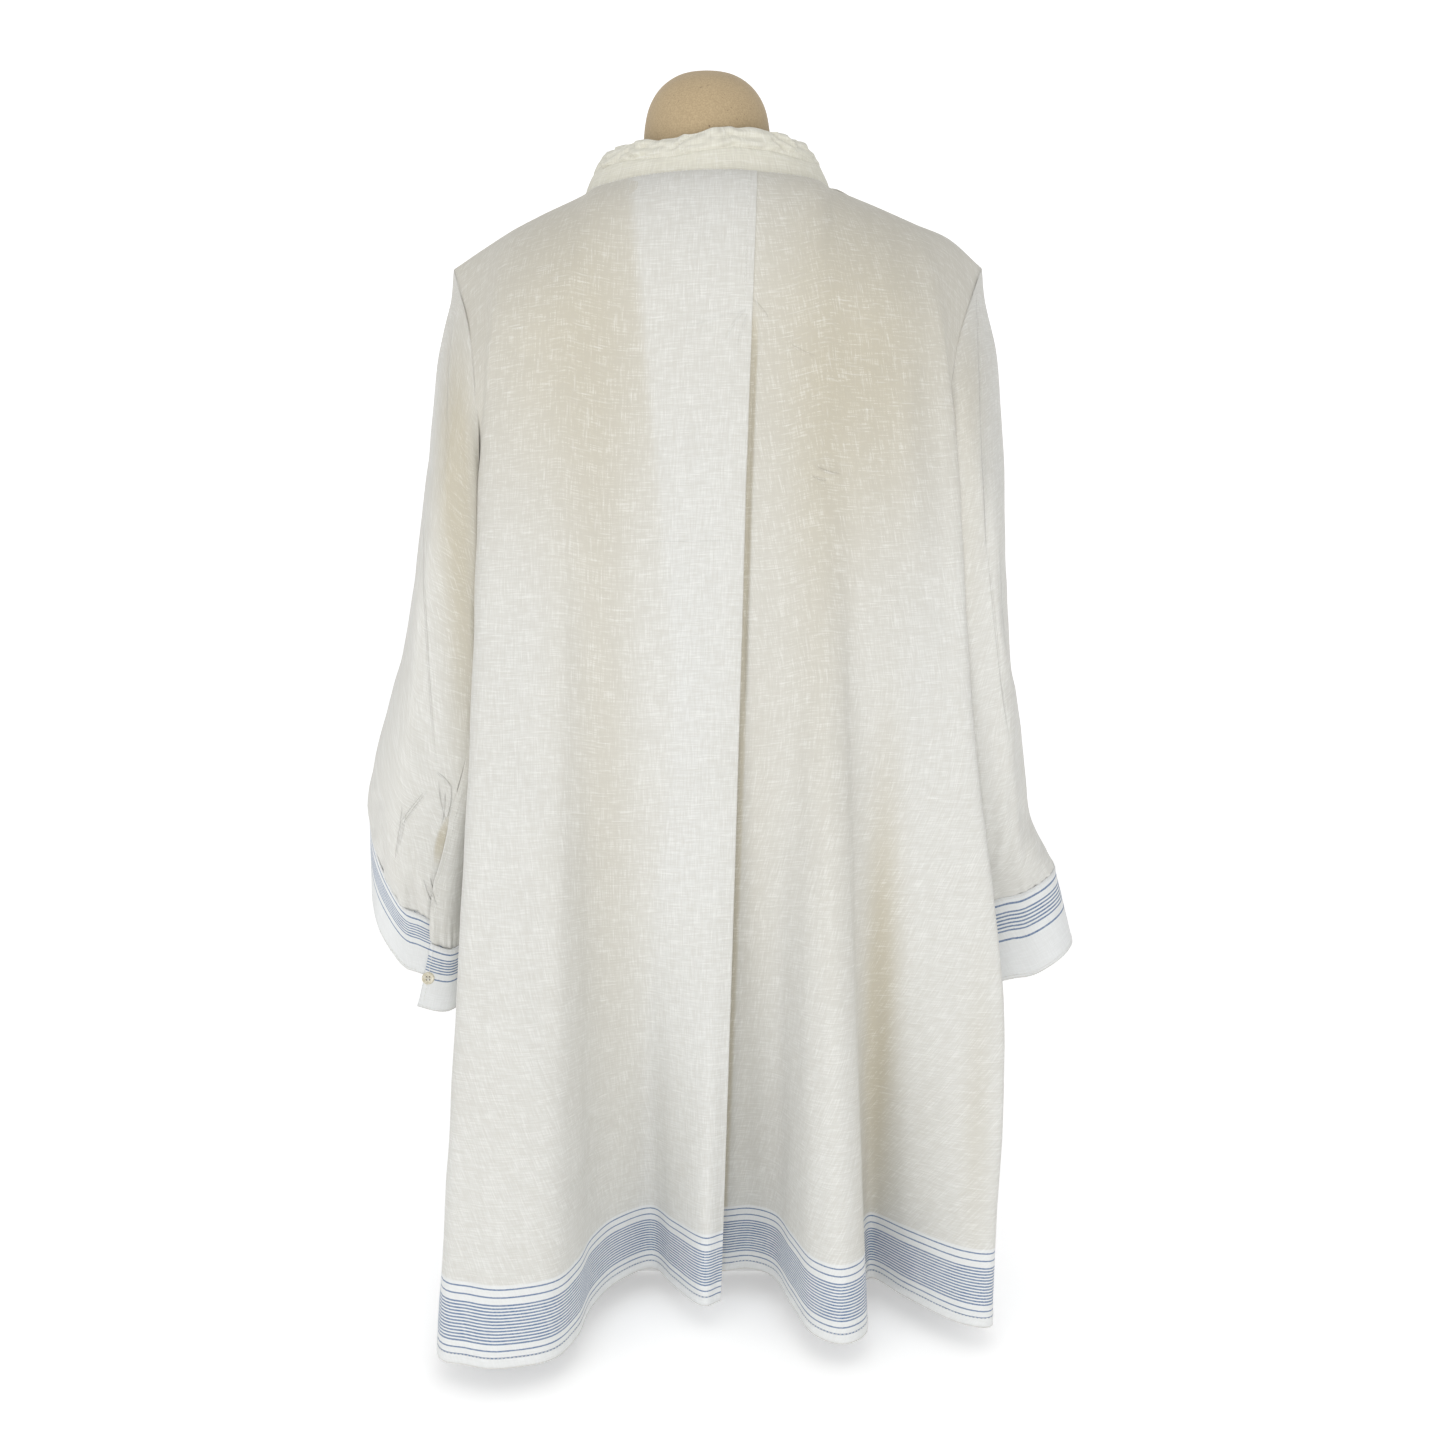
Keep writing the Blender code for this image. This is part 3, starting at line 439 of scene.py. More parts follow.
def formCover():
    # Woven cover of the form, with a few pin pricks round its neck
    sheet = Finish("formCover")
    place = sheet.out(sheet.node("ShaderNodeTexCoord"), 3)
    fine = sheet.noise(place, 900.0, 2.0)
    broad = sheet.noise(place, 14.0, 3.0)
    uv = sheet.out(sheet.node("ShaderNodeUVMap", {"uv_map": "cut"}))
    flat = {"voronoi_dimensions": "2D"}
    spots = sheet.out(sheet.node("ShaderNodeTexVoronoi", flat, {"Vector": uv, "Scale": 45.0}))
    prick = 1 - spots.smooth(0.022, 0.040)
    colour = sheet.mix(fine.smooth(0.3, 0.7), (0.375, 0.280, 0.160, 1), (0.475, 0.362, 0.215, 1))
    colour = sheet.mix(broad * 0.35, colour, (0.52, 0.41, 0.26, 1))
    colour = sheet.mix(prick * 0.8, colour, (0.16, 0.10, 0.055, 1))
    sheet.bump(fine - prick, 0.3, 0.0005)
    return sheet.finish(colour, 0.9, Sheen_Weight=0.15)


def shellButton():
    # Shell with a soft swirl, and four holes about the middle of the button's own flat map painted dark as shade,
    # since the button's shape has no holes
    sheet = Finish("shellButton")
    uv = sheet.node("ShaderNodeUVMap", {"uv_map": "cut"})
    parts = sheet.node("ShaderNodeSeparateXYZ", {}, {0: sheet.out(uv)})
    u, v = sheet.out(parts, 0), sheet.out(parts, 1)
    swirl = sheet.noise(sheet.vector(u, v), 420.0, 3.0, 0.6)
    aside, above = u.math("ABSOLUTE") - 0.0012, v.math("ABSOLUTE") - 0.0012
    paintedHoleShade = 1 - (aside * aside + above * above).math("SQRT").smooth(0.00055, 0.00075)
    colour = sheet.mix(swirl.smooth(0.3, 0.75), (0.55, 0.50, 0.36, 1), (0.74, 0.71, 0.62, 1))
    colour = sheet.mix(paintedHoleShade, colour, (0.10, 0.075, 0.05, 1))
    return sheet.finish(colour, 0.25 + 0.15 * swirl)


def sewingThread():
    # Spun thread: fine bands along the world's diagonal
    sheet = Finish("sewingThread")
    place = sheet.out(sheet.node("ShaderNodeTexCoord"), 3)
    spun = sheet.noise(place, 2400.0, 1.0)
    colour = sheet.mix(spun, (0.62, 0.61, 0.57, 1), (0.80, 0.80, 0.77, 1))
    return sheet.finish(colour, 0.75)


def whitePaint():
    sheet = Finish("whitePaint")
    place = sheet.out(sheet.node("ShaderNodeTexCoord"), 3)
    peel = sheet.noise(place, 400.0, 2.0)
    sheet.bump(peel, 0.15, 0.0002)
    colour = sheet.mix(peel * 0.2, (0.86, 0.86, 0.855, 1), (0.78, 0.78, 0.77, 1))
    return sheet.finish(colour, 0.42 + 0.1 * peel)



body = {
    "chestHeight": 0.70,
    "sideNeckHeight": 0.925,
    "frontNeckDrop": 0.040,
    "backNeckRise": 0.006,
    "neckHalfWidth": 0.094,
    "neckBackDepth": 0.062,
    "neckFrontDepth": 0.086,
    "shoulderSlope": 0.43,
    "shoulderTilt": 0.03,
    "shoulderRound": 0.10,
    "tipDroop": 0.004,
    "tipRound": {"left": 0.001, "right": 0.006},
    "seamGap": 0.0004,
    "armholeDepth": 0.206,
    "armholeHalfWidth": 0.068,
    "armholeBow": {"left": -0.026, "right": -0.025},
    "underarmX": 0.203,
    "sideSeamY": 0.022,
    "sideHollow": -0.06,
    "wall": 0.0008,
    "rows": 228,
    "shoulderShare": 0.17,
    "perSpan": 7,
    "earlySwing": 0.50,
    "rightBulge": 0.020,
    "foldPitch": 0.0014,
    "sewnPitch": 0.0003,
    "crumple": 0.00022,
    "pleatSewnTo": 0.83,
    "pleatOpening": 0.12,
    "pleatSettle": 0.05,
    "pleatGap": 0.0022,
    "pleatShade": 1.3,
}
shoulderTips = {"left": (-0.199, 0.867), "right": (0.2155, 0.868)}
# Side seams below the underarm: height, distance from the middle
sideSeam = np.array([
    (0.00, 0.2230), (0.08, 0.2170), (0.18, 0.2050), (0.28, 0.1930), (0.36, 0.1930),
    (0.44, 0.1955), (0.52, 0.1995), (0.60, 0.2025), (0.68, 0.2030),
])
# Inner fold of the pleat: height, x
innerFold = np.array([
    (0.02, -0.064), (0.37, -0.044), (0.48, -0.030), (0.56, -0.026), (0.70, -0.037),
    (0.80, -0.046), (0.94, -0.058),
])
# Folds: x on the shoulder, x and y at the chest, x and y at the hem, how late the fold opens
backLeftFolds = np.array([
    (-0.150, -0.169, -0.082, -0.213, -0.130, 1.0),
    (-0.128, -0.143, -0.096, -0.188, -0.146, 1.1),
    (-0.108, -0.122, -0.102, -0.160, -0.151, 1.2),
    (-0.094, -0.108, -0.106, -0.122, -0.138, 1.3),
    (-0.084, -0.098, -0.107, -0.105, -0.104, 1.5),
    (-0.072, -0.087, -0.1075, -0.097, -0.058, 1.8),
    (-0.060, -0.074, -0.108, -0.080, -0.018, 1.9),
    (-0.042, -0.050, -0.108, -0.050, 0.008, 1.9),
    (-0.014, -0.022, -0.1075, -0.030, -0.022, 1.9),
    (0.017, 0.008, -0.107, -0.006, -0.056, 1.7),
    (0.0375, 0.0285, -0.1065, 0.010, -0.048, 1.7),
])
backRightFolds = np.array([
    (0.0425, 0.0350, -0.1065, 0.0160, -0.001, 1.8),
    (0.056, 0.048, -0.1065, 0.037, 0.004, 1.9),
    (0.068, 0.059, -0.1065, 0.057, -0.010, 1.9),
    (0.078, 0.068, -0.1065, 0.070, -0.054, 1.7),
    (0.086, 0.077, -0.106, 0.084, -0.098, 1.4),
    (0.094, 0.086, -0.105, 0.108, -0.116, 1.3),
    (0.102, 0.095, -0.103, 0.129, -0.096, 1.3),
    (0.110, 0.105, -0.101, 0.129, -0.046, 1.6),
    (0.120, 0.122, -0.098, 0.140, -0.010, 1.8),
    (0.134, 0.148, -0.092, 0.168, -0.044, 1.5),
    (0.150, 0.174, -0.082, 0.204, -0.084, 1.1),
    (0.163, 0.193, -0.074, 0.230, -0.086, 0.9),
])
frontFolds = np.array([
    (-0.150, -0.170, 0.088, -0.216, 0.116, 1.0),
    (-0.126, -0.142, 0.106, -0.172, 0.150, 1.2),
    (-0.108, -0.118, 0.116, -0.132, 0.128, 1.4),
    (-0.090, -0.096, 0.121, -0.104, 0.082, 1.6),
    (-0.068, -0.068, 0.125, -0.070, 0.094, 1.5),
    (-0.040, -0.038, 0.128, -0.036, 0.140, 1.3),
    (-0.018, -0.017, 0.1295, -0.014, 0.142, 1.3),
    (0.018, 0.017, 0.1295, 0.020, 0.136, 1.3),
    (0.042, 0.042, 0.128, 0.050, 0.100, 1.5),
    (0.070, 0.072, 0.124, 0.080, 0.084, 1.6),
    (0.094, 0.098, 0.119, 0.112, 0.116, 1.4),
    (0.120, 0.130, 0.110, 0.150, 0.148, 1.2),
    (0.142, 0.160, 0.098, 0.192, 0.134, 1.1),
    (0.160, 0.188, 0.084, 0.226, 0.106, 1.0),
])


def topPoints(x, facing):
    # Formula: on the shoulder z falls with |x| by the slope; on the neck y and z follow an ellipse
    b = body
    roundOff = np.clip(1 - (x / b["neckHalfWidth"]) ** 2, 0, 1)
    side = b["sideNeckHeight"] + b["shoulderTilt"] * x
    fall = b["shoulderSlope"] * np.maximum(abs(x) - b["neckHalfWidth"], 0)
    fall = fall + b["tipDroop"] * np.clip((abs(x) - 0.150) / 0.050, 0, 1.2) ** 2
    depth = b["neckBackDepth"] if facing < 0 else b["neckFrontDepth"]
    rise = b["backNeckRise"] if facing < 0 else -b["frontNeckDrop"]
    y = facing * np.maximum(depth * np.sqrt(roundOff), b["seamGap"])
    return y, side - fall + rise * roundOff


def armholePoints(side, share, facing):
    # Formula: x bows in and y out by a sine of the share of the way down, z falls evenly
    b = body
    tipX, tipZ = shoulderTips[side]
    wave = np.sin(np.pi * share)
    x = abs(tipX) + (b["underarmX"] - abs(tipX)) * share + b["armholeBow"][side] * wave
    y = facing * b["armholeHalfWidth"] * wave
    return np.stack([math.copysign(1, tipX) * x, y, tipZ - b["armholeDepth"] * share], axis=-1)


def rowHeights(top):
    # Formula: a quarter cosine over the shoulder's round, then even steps to the hem
    b = body
    v = np.linspace(0, 1, b["rows"])[:, None]
    cut = b["shoulderShare"]
    first = top - b["shoulderRound"] * (1 - np.cos(np.pi / 2 * np.minimum(v / cut, 1)))
    rest = (hemHeight - top + b["shoulderRound"]) * np.maximum((v - cut) / (1 - cut), 0)
    return first + rest


def bodyPanel(folds, facing, sides):
    # Formula: each fold's line runs down from the shoulder to the chest and swings to its place in
    # the hem by a power of the way down; Catmull-Rom joins the folds across
    b = body
    topX, chestX, chestY, hemX, hemY, late = folds.T
    topY, topZ = topPoints(topX, facing)
    height = rowHeights(topZ[None])
    up = np.clip((height - b["chestHeight"]) / (topZ - b["chestHeight"]), 0, 1)
    down = np.clip((b["chestHeight"] - height) / (b["chestHeight"] - hemHeight), 0, 1)
    onForm = quarterRound((topZ - height) / b["shoulderRound"])
    x = np.where(up > 0, chestX + (topX - chestX) * up, chestX + (hemX - chestX) * down**1.05)
    low = np.clip(2 * down - 1, 0, 1)
    swing = down**late + b["earlySwing"] * (late - 1) * low * low * (1 - low)
    y = np.where(up > 0, topY + (chestY - topY) * onForm, chestY + (hemY - chestY) * swing)
    x = x + b["rightBulge"] * np.exp(-(((down - 0.62) / 0.27) ** 2)) * easeStep((chestX - 0.14) / 0.045)
    line = np.stack([x, y, height], axis=-1)
    for side in sides:
        tipX, tipZ = shoulderTips[side]
        height = rowHeights(np.array([tipZ]))[:, 0]
        share = (tipZ - height) / b["armholeDepth"]
        armhole = armholePoints(side, np.clip(share, 0, 1), facing)
        below = (tipZ - b["armholeDepth"] - height) / (tipZ - b["armholeDepth"] - hemHeight)
        seamX = math.copysign(1, tipX) * np.interp(height, *sideSeam.T)
        edgeX = np.where(share <= 1, armhole[:, 0], seamX)
        edgeY = np.where(share <= 1, armhole[:, 1], b["sideSeamY"] * below)
        edgeY = edgeY + facing * b["seamGap"] / 2
        edge = np.stack([edgeX, edgeY, height], axis=-1)
        corner = line[:, 0] if side == "left" else line[:, -1]
        depth = abs(edge[:, 1] - corner[:, 1])
        low = easeStep((0.62 - height) / 0.10)
        out = b["sideHollow"] * depth * (1 - low)
        out = out - 0.11 * depth * low * easeStep((height - hemHeight) / 0.20)
        middle = (edge + corner) / 2
        middle[:, 0] += math.copysign(1, tipX) * out
        middle[:, 2] += b["tipRound"][side] * np.clip(1 - share, 0, 1)
        extra = np.stack([edge, middle], axis=1)
        line = np.concatenate([extra, line] if side == "left" else [line, extra[:, ::-1]], axis=1)
    return throughColumns(line, b["perSpan"])


def outwardNormals(grid, facing):
    normal = gridNormals(grid)
    return normal * np.sign(facing * normal[..., 1:2].mean())


backCreases = [
    # x and z of both ends, bow, depth (below 0 is a trough), width
    (0.034, 0.826, -0.020, 0.798, 0.003, 0.0007, 0.006),
    (0.034, 0.826, 0.014, 0.760, 0.002, 0.0009, 0.005),
    (0.044, 0.826, 0.074, 0.790, -0.002, -0.0006, 0.006),
    (-0.096, 0.204, -0.070, 0.172, 0.003, -0.0018, 0.004),
    (-0.090, 0.186, -0.058, 0.168, 0.002, 0.0015, 0.004),
    (-0.110, 0.155, -0.072, 0.178, 0.002, -0.0020, 0.004),
    (-0.100, 0.134, -0.070, 0.148, -0.002, -0.0015, 0.004),
    (-0.150, 0.630, -0.132, 0.470, 0.004, -0.0016, 0.009),
    (-0.118, 0.700, -0.104, 0.540, -0.004, 0.0014, 0.010),
    (-0.080, 0.690, -0.060, 0.500, 0.006, 0.0014, 0.014),
    (-0.128, 0.430, -0.118, 0.240, 0.005, -0.0016, 0.012),
    (-0.168, 0.330, -0.176, 0.140, 0.004, 0.0015, 0.010),
    (0.100, 0.720, 0.118, 0.500, -0.005, -0.0014, 0.011),
    (0.070, 0.610, 0.078, 0.380, 0.005, -0.0013, 0.012),
    (0.150, 0.800, 0.160, 0.640, 0.004, 0.0014, 0.009),
    (0.172, 0.560, 0.186, 0.330, 0.005, -0.0016, 0.011),
    (0.178, 0.300, 0.196, 0.130, -0.004, 0.0014, 0.010),
    (0.078, 0.714, 0.100, 0.708, 0.001, 0.0014, 0.003),
    (0.076, 0.706, 0.094, 0.700, 0.001, -0.0012, 0.003),
    (-0.164, 0.820, -0.120, 0.790, 0.004, -0.0012, 0.007),
    (0.170, 0.822, 0.128, 0.786, -0.004, -0.0012, 0.007),
]
frontCreases = [
    (-0.150, 0.800, -0.110, 0.640, 0.006, -0.0014, 0.010),
    (-0.090, 0.560, -0.100, 0.320, 0.006, 0.0014, 0.012),
    (-0.050, 0.470, -0.060, 0.260, -0.004, -0.0015, 0.010),
    (0.060, 0.620, 0.080, 0.380, 0.005, -0.0014, 0.011),
    (0.140, 0.780, 0.120, 0.600, -0.005, 0.0013, 0.010),
    (0.160, 0.480, 0.172, 0.230, 0.006, -0.0016, 0.012),
    (-0.020, 0.632, -0.060, 0.600, 0.003, -0.0013, 0.005),
    (0.020, 0.632, 0.064, 0.606, -0.003, -0.0011, 0.005),
]
# Where the form or a layer shows through the sheer cloth, and painted shade in valleys, on the turned-away sides
# and beside the pleat's edge: x, z, their half sizes, how strongly
backingAndShadeSpots = [
    (-0.105, 0.820, 0.085, 0.150, 0.46),
    (0.115, 0.820, 0.090, 0.150, 0.46),
    (-0.081, 0.520, 0.030, 0.270, 0.40),
    (0.084, 0.640, 0.028, 0.210, 0.40),
    (0.132, 0.740, 0.030, 0.110, 0.22),
    (-0.196, 0.700, 0.020, 0.200, 0.20),
    (0.138, 0.270, 0.014, 0.190, 1.00),
    (-0.072, 0.270, 0.026, 0.180, 0.08),
    (0.034, 0.450, 0.026, 0.260, 0.28),
    (0.104, 0.400, 0.022, 0.140, 0.14),
    (0.215, 0.200, 0.010, 0.110, 0.30),
]


# The front's spots: the form showing through and painted shade in valleys, as on the back
frontBackingAndShadeSpots = [
    (-0.105, 0.780, 0.085, 0.190, 0.34),
    (0.115, 0.790, 0.090, 0.180, 0.34),
    (-0.094, 0.500, 0.030, 0.280, 0.26),
    (0.100, 0.540, 0.028, 0.250, 0.28),
    (0.146, 0.240, 0.018, 0.190, 0.40),
]
# Painted shade on the sleeves in the valley beside the body: x, z, their half sizes, how strongly
sleeveShadeSpots = [
    (-0.190, 0.720, 0.016, 0.100, 0.85),
    (-0.186, 0.580, 0.014, 0.100, 0.55),
    (0.196, 0.775, 0.018, 0.060, 0.40),
    (0.197, 0.660, 0.014, 0.080, 0.25),
]


def spotSum(points, spots):
    # Formula: the sum over spots of strength times exp(-(dx / half)^2 - (dz / half)^2)
    total = np.zeros(points.shape[:-1])
    for x, z, halfX, halfZ, strength in spots:
        away = ((points[..., 0] - x) / halfX) ** 2 + ((points[..., 2] - z) / halfZ) ** 2
        total += strength * np.exp(-away)
    return total


def backPatches():
    # Formula: the outer layer runs to the pleat's edge, turns under it by a half circle to the
    # inner fold, turns again and comes out as the underlay
    b = body
    left = bodyPanel(backLeftFolds, -1, ["left"])
    right = bodyPanel(backRightFolds, -1, ["right"])
    leftOut, rightOut = outwardNormals(left, -1), outwardNormals(right, -1)
    edge = left[:, -1:]
    free = easeStep((b["pleatSewnTo"] - edge[..., 2:]) / b["pleatOpening"])
    pitch = b["sewnPitch"] + (b["foldPitch"] - b["sewnPitch"]) * free
    beside = 1 - easeStep((right[..., :1] - right[:, :1, :1]) / b["pleatSettle"])
    right = right - rightOut * (2 * pitch * beside)
    innerX = np.interp(edge[..., 2], *innerFold.T)
    steps = np.linspace(0, 1, 14)[None]
    x = innerX + (edge[..., 0] - innerX) * steps
    base = readRows(left, left, x)
    lift = readRows(left, leftOut, x)
    lift = lift / np.linalg.norm(lift, axis=2, keepdims=True)
    chord = base[:, :1, 1] + (right[:, :1, 1] - base[:, :1, 1]) * steps
    slack = np.maximum(chord - base[..., 1] - 2 * pitch[..., 0], 0) * free[..., 0]
    under, lowest = base - lift * pitch, base - lift * 2 * pitch
    under[..., 1] += slack * 0.5 * (1 - steps**3)
    lowest[..., 1] += slack
    turns = np.pi * np.array([0.25, 0.5, 0.75])[None, :, None]

    def bend(a, c, side):
        middle, half = (a + c)[:, None] / 2, (a - c)[:, None] / 2
        sideways = np.array([side / 2, 0, 0]) * pitch
        return middle + half * np.cos(turns) + sideways * np.sin(turns)

    ahead = np.linspace(0, 1, 7)[None, :-1]
    gap = lowest[:, -1:] + (right[:, :1] - lowest[:, -1:]) * ahead[..., None]
    apart = easeStep((b["pleatSewnTo"] - edge[..., 2]) / 0.04)
    deep = b["pleatGap"] * apart * easeStep((edge[..., 2] - 0.50) / 0.08)
    gap[..., 1] += deep * np.sin(np.pi * ahead)
    outer = bend(left[:, -1], under[:, -1], 1)
    inner = bend(under[:, 0], lowest[:, 0], -1)
    grid = np.concatenate([left, outer, under[:, ::-1], inner, lowest[:, :-1], gap, right], axis=1)
    uv = grainUv(grid, left.shape[1] - 1)
    normal = outwardNormals(grid, -1)
    leftCount, rightCount = left.shape[1], right.shape[1]
    shown = np.zeros(grid.shape[1])
    shown[:leftCount] = 1
    shown[-rightCount:] = 1
    shown[leftCount - 4 : leftCount] = (0.8, 0.5, 0.2, 0)
    shown[-rightCount : 4 - rightCount] = (0, 0.2, 0.5, 0.8)
    depth = (creaseDepth(grid, backCreases) + crumple(uv, b["crumple"], 3)) * shown
    depth = depth * easeStep(runLength(grid, 0) / 0.02)
    doubled = easeStep((grid[..., 0] - innerX + 0.004) / 0.011) * (np.arange(grid.shape[1]) < leftCount)
    grid = grid + normal * np.maximum(depth, 0.01 * (doubled - 1) - 0.0002)[..., None]
    # Darker towards the shoulders where the form shows through, plus the spots' show-through and painted shade;
    # less where the cloth lies double
    shade = 0.16 + 0.20 * easeStep((grid[..., 2] - 0.55) / 0.3) + spotSum(grid, backingAndShadeSpots)
    backing = shade * (1 - 0.58 * doubled)
    # Painted shadow down the gap beside the pleat's free edge
    inGap = slice(-rightCount - ahead.size, -rightCount)
    backing[:, inGap] += b["pleatShade"] * apart * np.cos(np.pi / 2 * ahead)
    patch = {"grid": grid, "uv": uv, "backing": np.clip(backing, 0, 1), "normal": normal}
    return patch, leftCount, rightCount


def frontPatches():
    # Formula: the same surface facing forwards, whole under the placket's two strips
    grid = bodyPanel(frontFolds, 1, ["left", "right"])
    middle = int(np.argmin(abs(grid[0, :, 0])))
    uv = grainUv(grid, middle)
    normal = outwardNormals(grid, 1)
    clear = 1 - np.exp(-(((grid[..., 0]) / 0.022) ** 2)) * easeStep((grid[..., 2] - 0.56) / 0.03)
    depth = (creaseDepth(grid, frontCreases) + crumple(uv, body["crumple"], 5)) * clear
    depth = depth * easeStep(runLength(grid, 0) / 0.02)
    grid = grid + normal * depth[..., None]
    # The form showing through, darker towards the shoulders, and painted shade in the front's valleys from the
    # spots
    backing = 0.16 + 0.16 * easeStep((grid[..., 2] - 0.50) / 0.35) + spotSum(grid, frontBackingAndShadeSpots)
    return {"grid": grid, "uv": uv, "backing": backing, "normal": normal}, middle


print("materials made")
backPatch, leftCount, rightCount = backPatches()
backPiece = addSurface("backPanel", [backPatch], linenBody, "back_panel", body["wall"])
frontPatch, frontMiddle = frontPatches()
frontGrid = frontPatch["grid"]
frontPiece = addSurface("frontPanel", [frontPatch], linenBody, "front_panel", body["wall"])
print("body panels made")


sleeveLooks = {
    "wall": 0.0008,
    "ringPower": 0.85,
    "innerSquare": 0.36,
    "ringLean": 0.8,
    "perSpan": 16,
    "columns": 216,
    "nearSlit": 0.65,
    "slitAngles": {"left": (109, 99), "right": (160, 150)},
    "cuffSlant": {"left": math.radians(8), "right": 0.0},
    "slitTopRow": 5.1,
    "slitLeaf": 0.0044,
    "leafRows": (5.50, 6.42),
    "underlap": math.radians(16),
    "liftRows": 3.5,
    "crumple": 0.00028,
    "cuffHeight": 0.060,
    "cuffLap": math.radians(28),
    "cuffLapRise": 0.0024,
    "cuffRows": 26,
    "cuffColumns": 150,
}
# How far the seam and the edge of a cuff stand off their rings: at its upper end, at its lower end
# and at the outer edge of the sleeve
cuffLifts = {
    "left": {"seam": (-0.011, 0.007, 0.038), "edge": (-0.0150, 0.012, 0.034)},
    "right": {"seam": (-0.005, -0.010, 0.0), "edge": (-0.004, -0.004, 0.0)},
}
# From the armhole down: x and z of the outer edge, x and z of the inner edge, half width, bow of
# both flat sides, how far the inner half reaches over the side of the body
sleeveRings = {
    "left": np.array([
        (0.2030, 0.842, 0.2010, 0.652, 0.0695, -0.0290, 0.000),
        (0.2155, 0.792, 0.2030, 0.640, 0.0740, -0.0220, 0.010),
        (0.2235, 0.716, 0.2030, 0.605, 0.0770, -0.0100, 0.022),
        (0.2310, 0.639, 0.2022, 0.560, 0.0765, -0.0010, 0.029),
        (0.2480, 0.556, 0.1998, 0.500, 0.0750, 0.0, 0.030),
        (0.2640, 0.496, 0.1982, 0.452, 0.0710, 0.0, 0.023),
        (0.2765, 0.446, 0.1985, 0.402, 0.0620, 0.0, 0.010),
        (0.2805, 0.412, 0.1995, 0.356, 0.0500, 0.0, 0.002),
        (0.2790, 0.398, 0.2010, 0.326, 0.0380, 0.0, 0.000),
    ]),
    "right": np.array([
        (0.2195, 0.842, 0.2010, 0.654, 0.0695, -0.0310, 0.000),
        (0.2305, 0.796, 0.2032, 0.646, 0.0740, -0.0240, 0.010),
        (0.2365, 0.716, 0.2034, 0.612, 0.0770, -0.0090, 0.018),
        (0.2365, 0.639, 0.2024, 0.560, 0.0760, -0.0010, 0.020),
        (0.2440, 0.560, 0.2002, 0.505, 0.0740, 0.0, 0.012),
        (0.2550, 0.496, 0.1992, 0.455, 0.0700, 0.0, 0.006),
        (0.2635, 0.440, 0.2040, 0.410, 0.0620, 0.0, 0.000),
        (0.2785, 0.404, 0.2080, 0.384, 0.0480, 0.0, 0.000),
        (0.2870, 0.388, 0.2110, 0.364, 0.0360, 0.0, 0.000),
    ]),
}
cuffEdges = {
    "left": np.array([(0.2790, 0.338, 0.2030, 0.275, 0.039, 0.0, 0.0)]),
    "right": np.array([(0.3040, 0.324, 0.2130, 0.292, 0.037, 0.0, 0.0)]),
}


def ringPoints(side, rings, angles, grow=0.0):
    # Formula: x and y follow a squarish ellipse, z slides from the outer to the inner edge
    sign = math.copysign(1, shoulderTips[side][0])
    outX, outZ, inX, inZ, half, bow, lobe = (rings[:, k : k + 1] for k in range(7))
    c, s = np.cos(angles), np.sin(angles)
    lean = 1 + sleeveLooks["ringLean"] * easeStep((0.47 - outZ) / 0.08)
    z = inZ + (outZ - inZ) * ((1 + c) / 2) ** lean
    power = sleeveLooks["ringPower"]
    power = power - sleeveLooks["innerSquare"] * easeStep(0.5 - c)
    c, s = np.sign(c) * abs(c) ** power, np.sign(s) * abs(s) ** power
    reach = (outX - inX) / 2
    reach = reach + np.where(reach < 0, -grow, grow)
    x = (outX + inX) / 2 + reach * c + bow * abs(s)
    x = x - lobe * abs(s) * easeStep(-c / 0.6)
    return np.stack(np.broadcast_arrays(sign * x, -(half + grow) * s, z), axis=-1)


sleeveCreases = {
    "left": [
        (-0.2190, 0.460, -0.2460, 0.424, 0.0015, -0.0014, 0.0070),
        (-0.236, 0.640, -0.232, 0.500, 0.004, -0.0020, 0.010),
        (-0.222, 0.830, -0.214, 0.700, 0.006, -0.0018, 0.010),
        (-0.212, 0.858, -0.206, 0.834, 0.002, -0.0022, 0.007),
        (-0.250, 0.560, -0.262, 0.470, 0.004, 0.0022, 0.010),
        (-0.262, 0.455, -0.272, 0.420, 0.002, -0.0026, 0.007),
        (-0.250, 0.372, -0.246, 0.420, 0.002, -0.0016, 0.005),
        (-0.264, 0.392, -0.262, 0.440, 0.002, -0.0014, 0.005),
        (-0.238, 0.350, -0.236, 0.392, 0.002, -0.0020, 0.003),
        (-0.2425, 0.354, -0.2415, 0.388, 0.001, -0.0018, 0.003),
        (-0.220, 0.560, -0.216, 0.480, 0.003, -0.0016, 0.008),
    ],
    "right": [
        (0.2215, 0.620, 0.2365, 0.545, 0.002, 0.0030, 0.0045),
        (0.2265, 0.616, 0.2420, 0.545, 0.002, -0.0030, 0.0060),
        (0.2365, 0.545, 0.2470, 0.440, 0.003, 0.0020, 0.0050),
        (0.2140, 0.735, 0.2155, 0.640, 0.001, -0.0022, 0.0050),
        (0.246, 0.500, 0.262, 0.420, 0.004, -0.0026, 0.008),
        (0.222, 0.560, 0.230, 0.420, 0.003, -0.0022, 0.007),
        (0.221, 0.840, 0.221, 0.700, 0.005, -0.0016, 0.010),
        (0.240, 0.398, 0.2385, 0.470, 0.002, -0.0020, 0.0045),
        (0.256, 0.398, 0.250, 0.450, 0.002, -0.0016, 0.005),
        (0.274, 0.402, 0.268, 0.440, 0.002, -0.0014, 0.005),
        (0.226, 0.392, 0.226, 0.430, 0.001, -0.0014, 0.004),
    ],
}


def cuffLift(side, line, turn):
    # Formula: each end's lift eases away from that end, and the outer edge's is a soft bump
    first, last, outer = cuffLifts[side][line]
    outerTurn = turnAll - math.radians(sleeveLooks["slitAngles"][side][1])
    lift = first * (1 - easeStep(turn)) + last * easeStep((turn - turnAll + 1.3) / 1.3)
    return lift + outer * np.exp(-(((turn - outerTurn) / 0.95) ** 2))


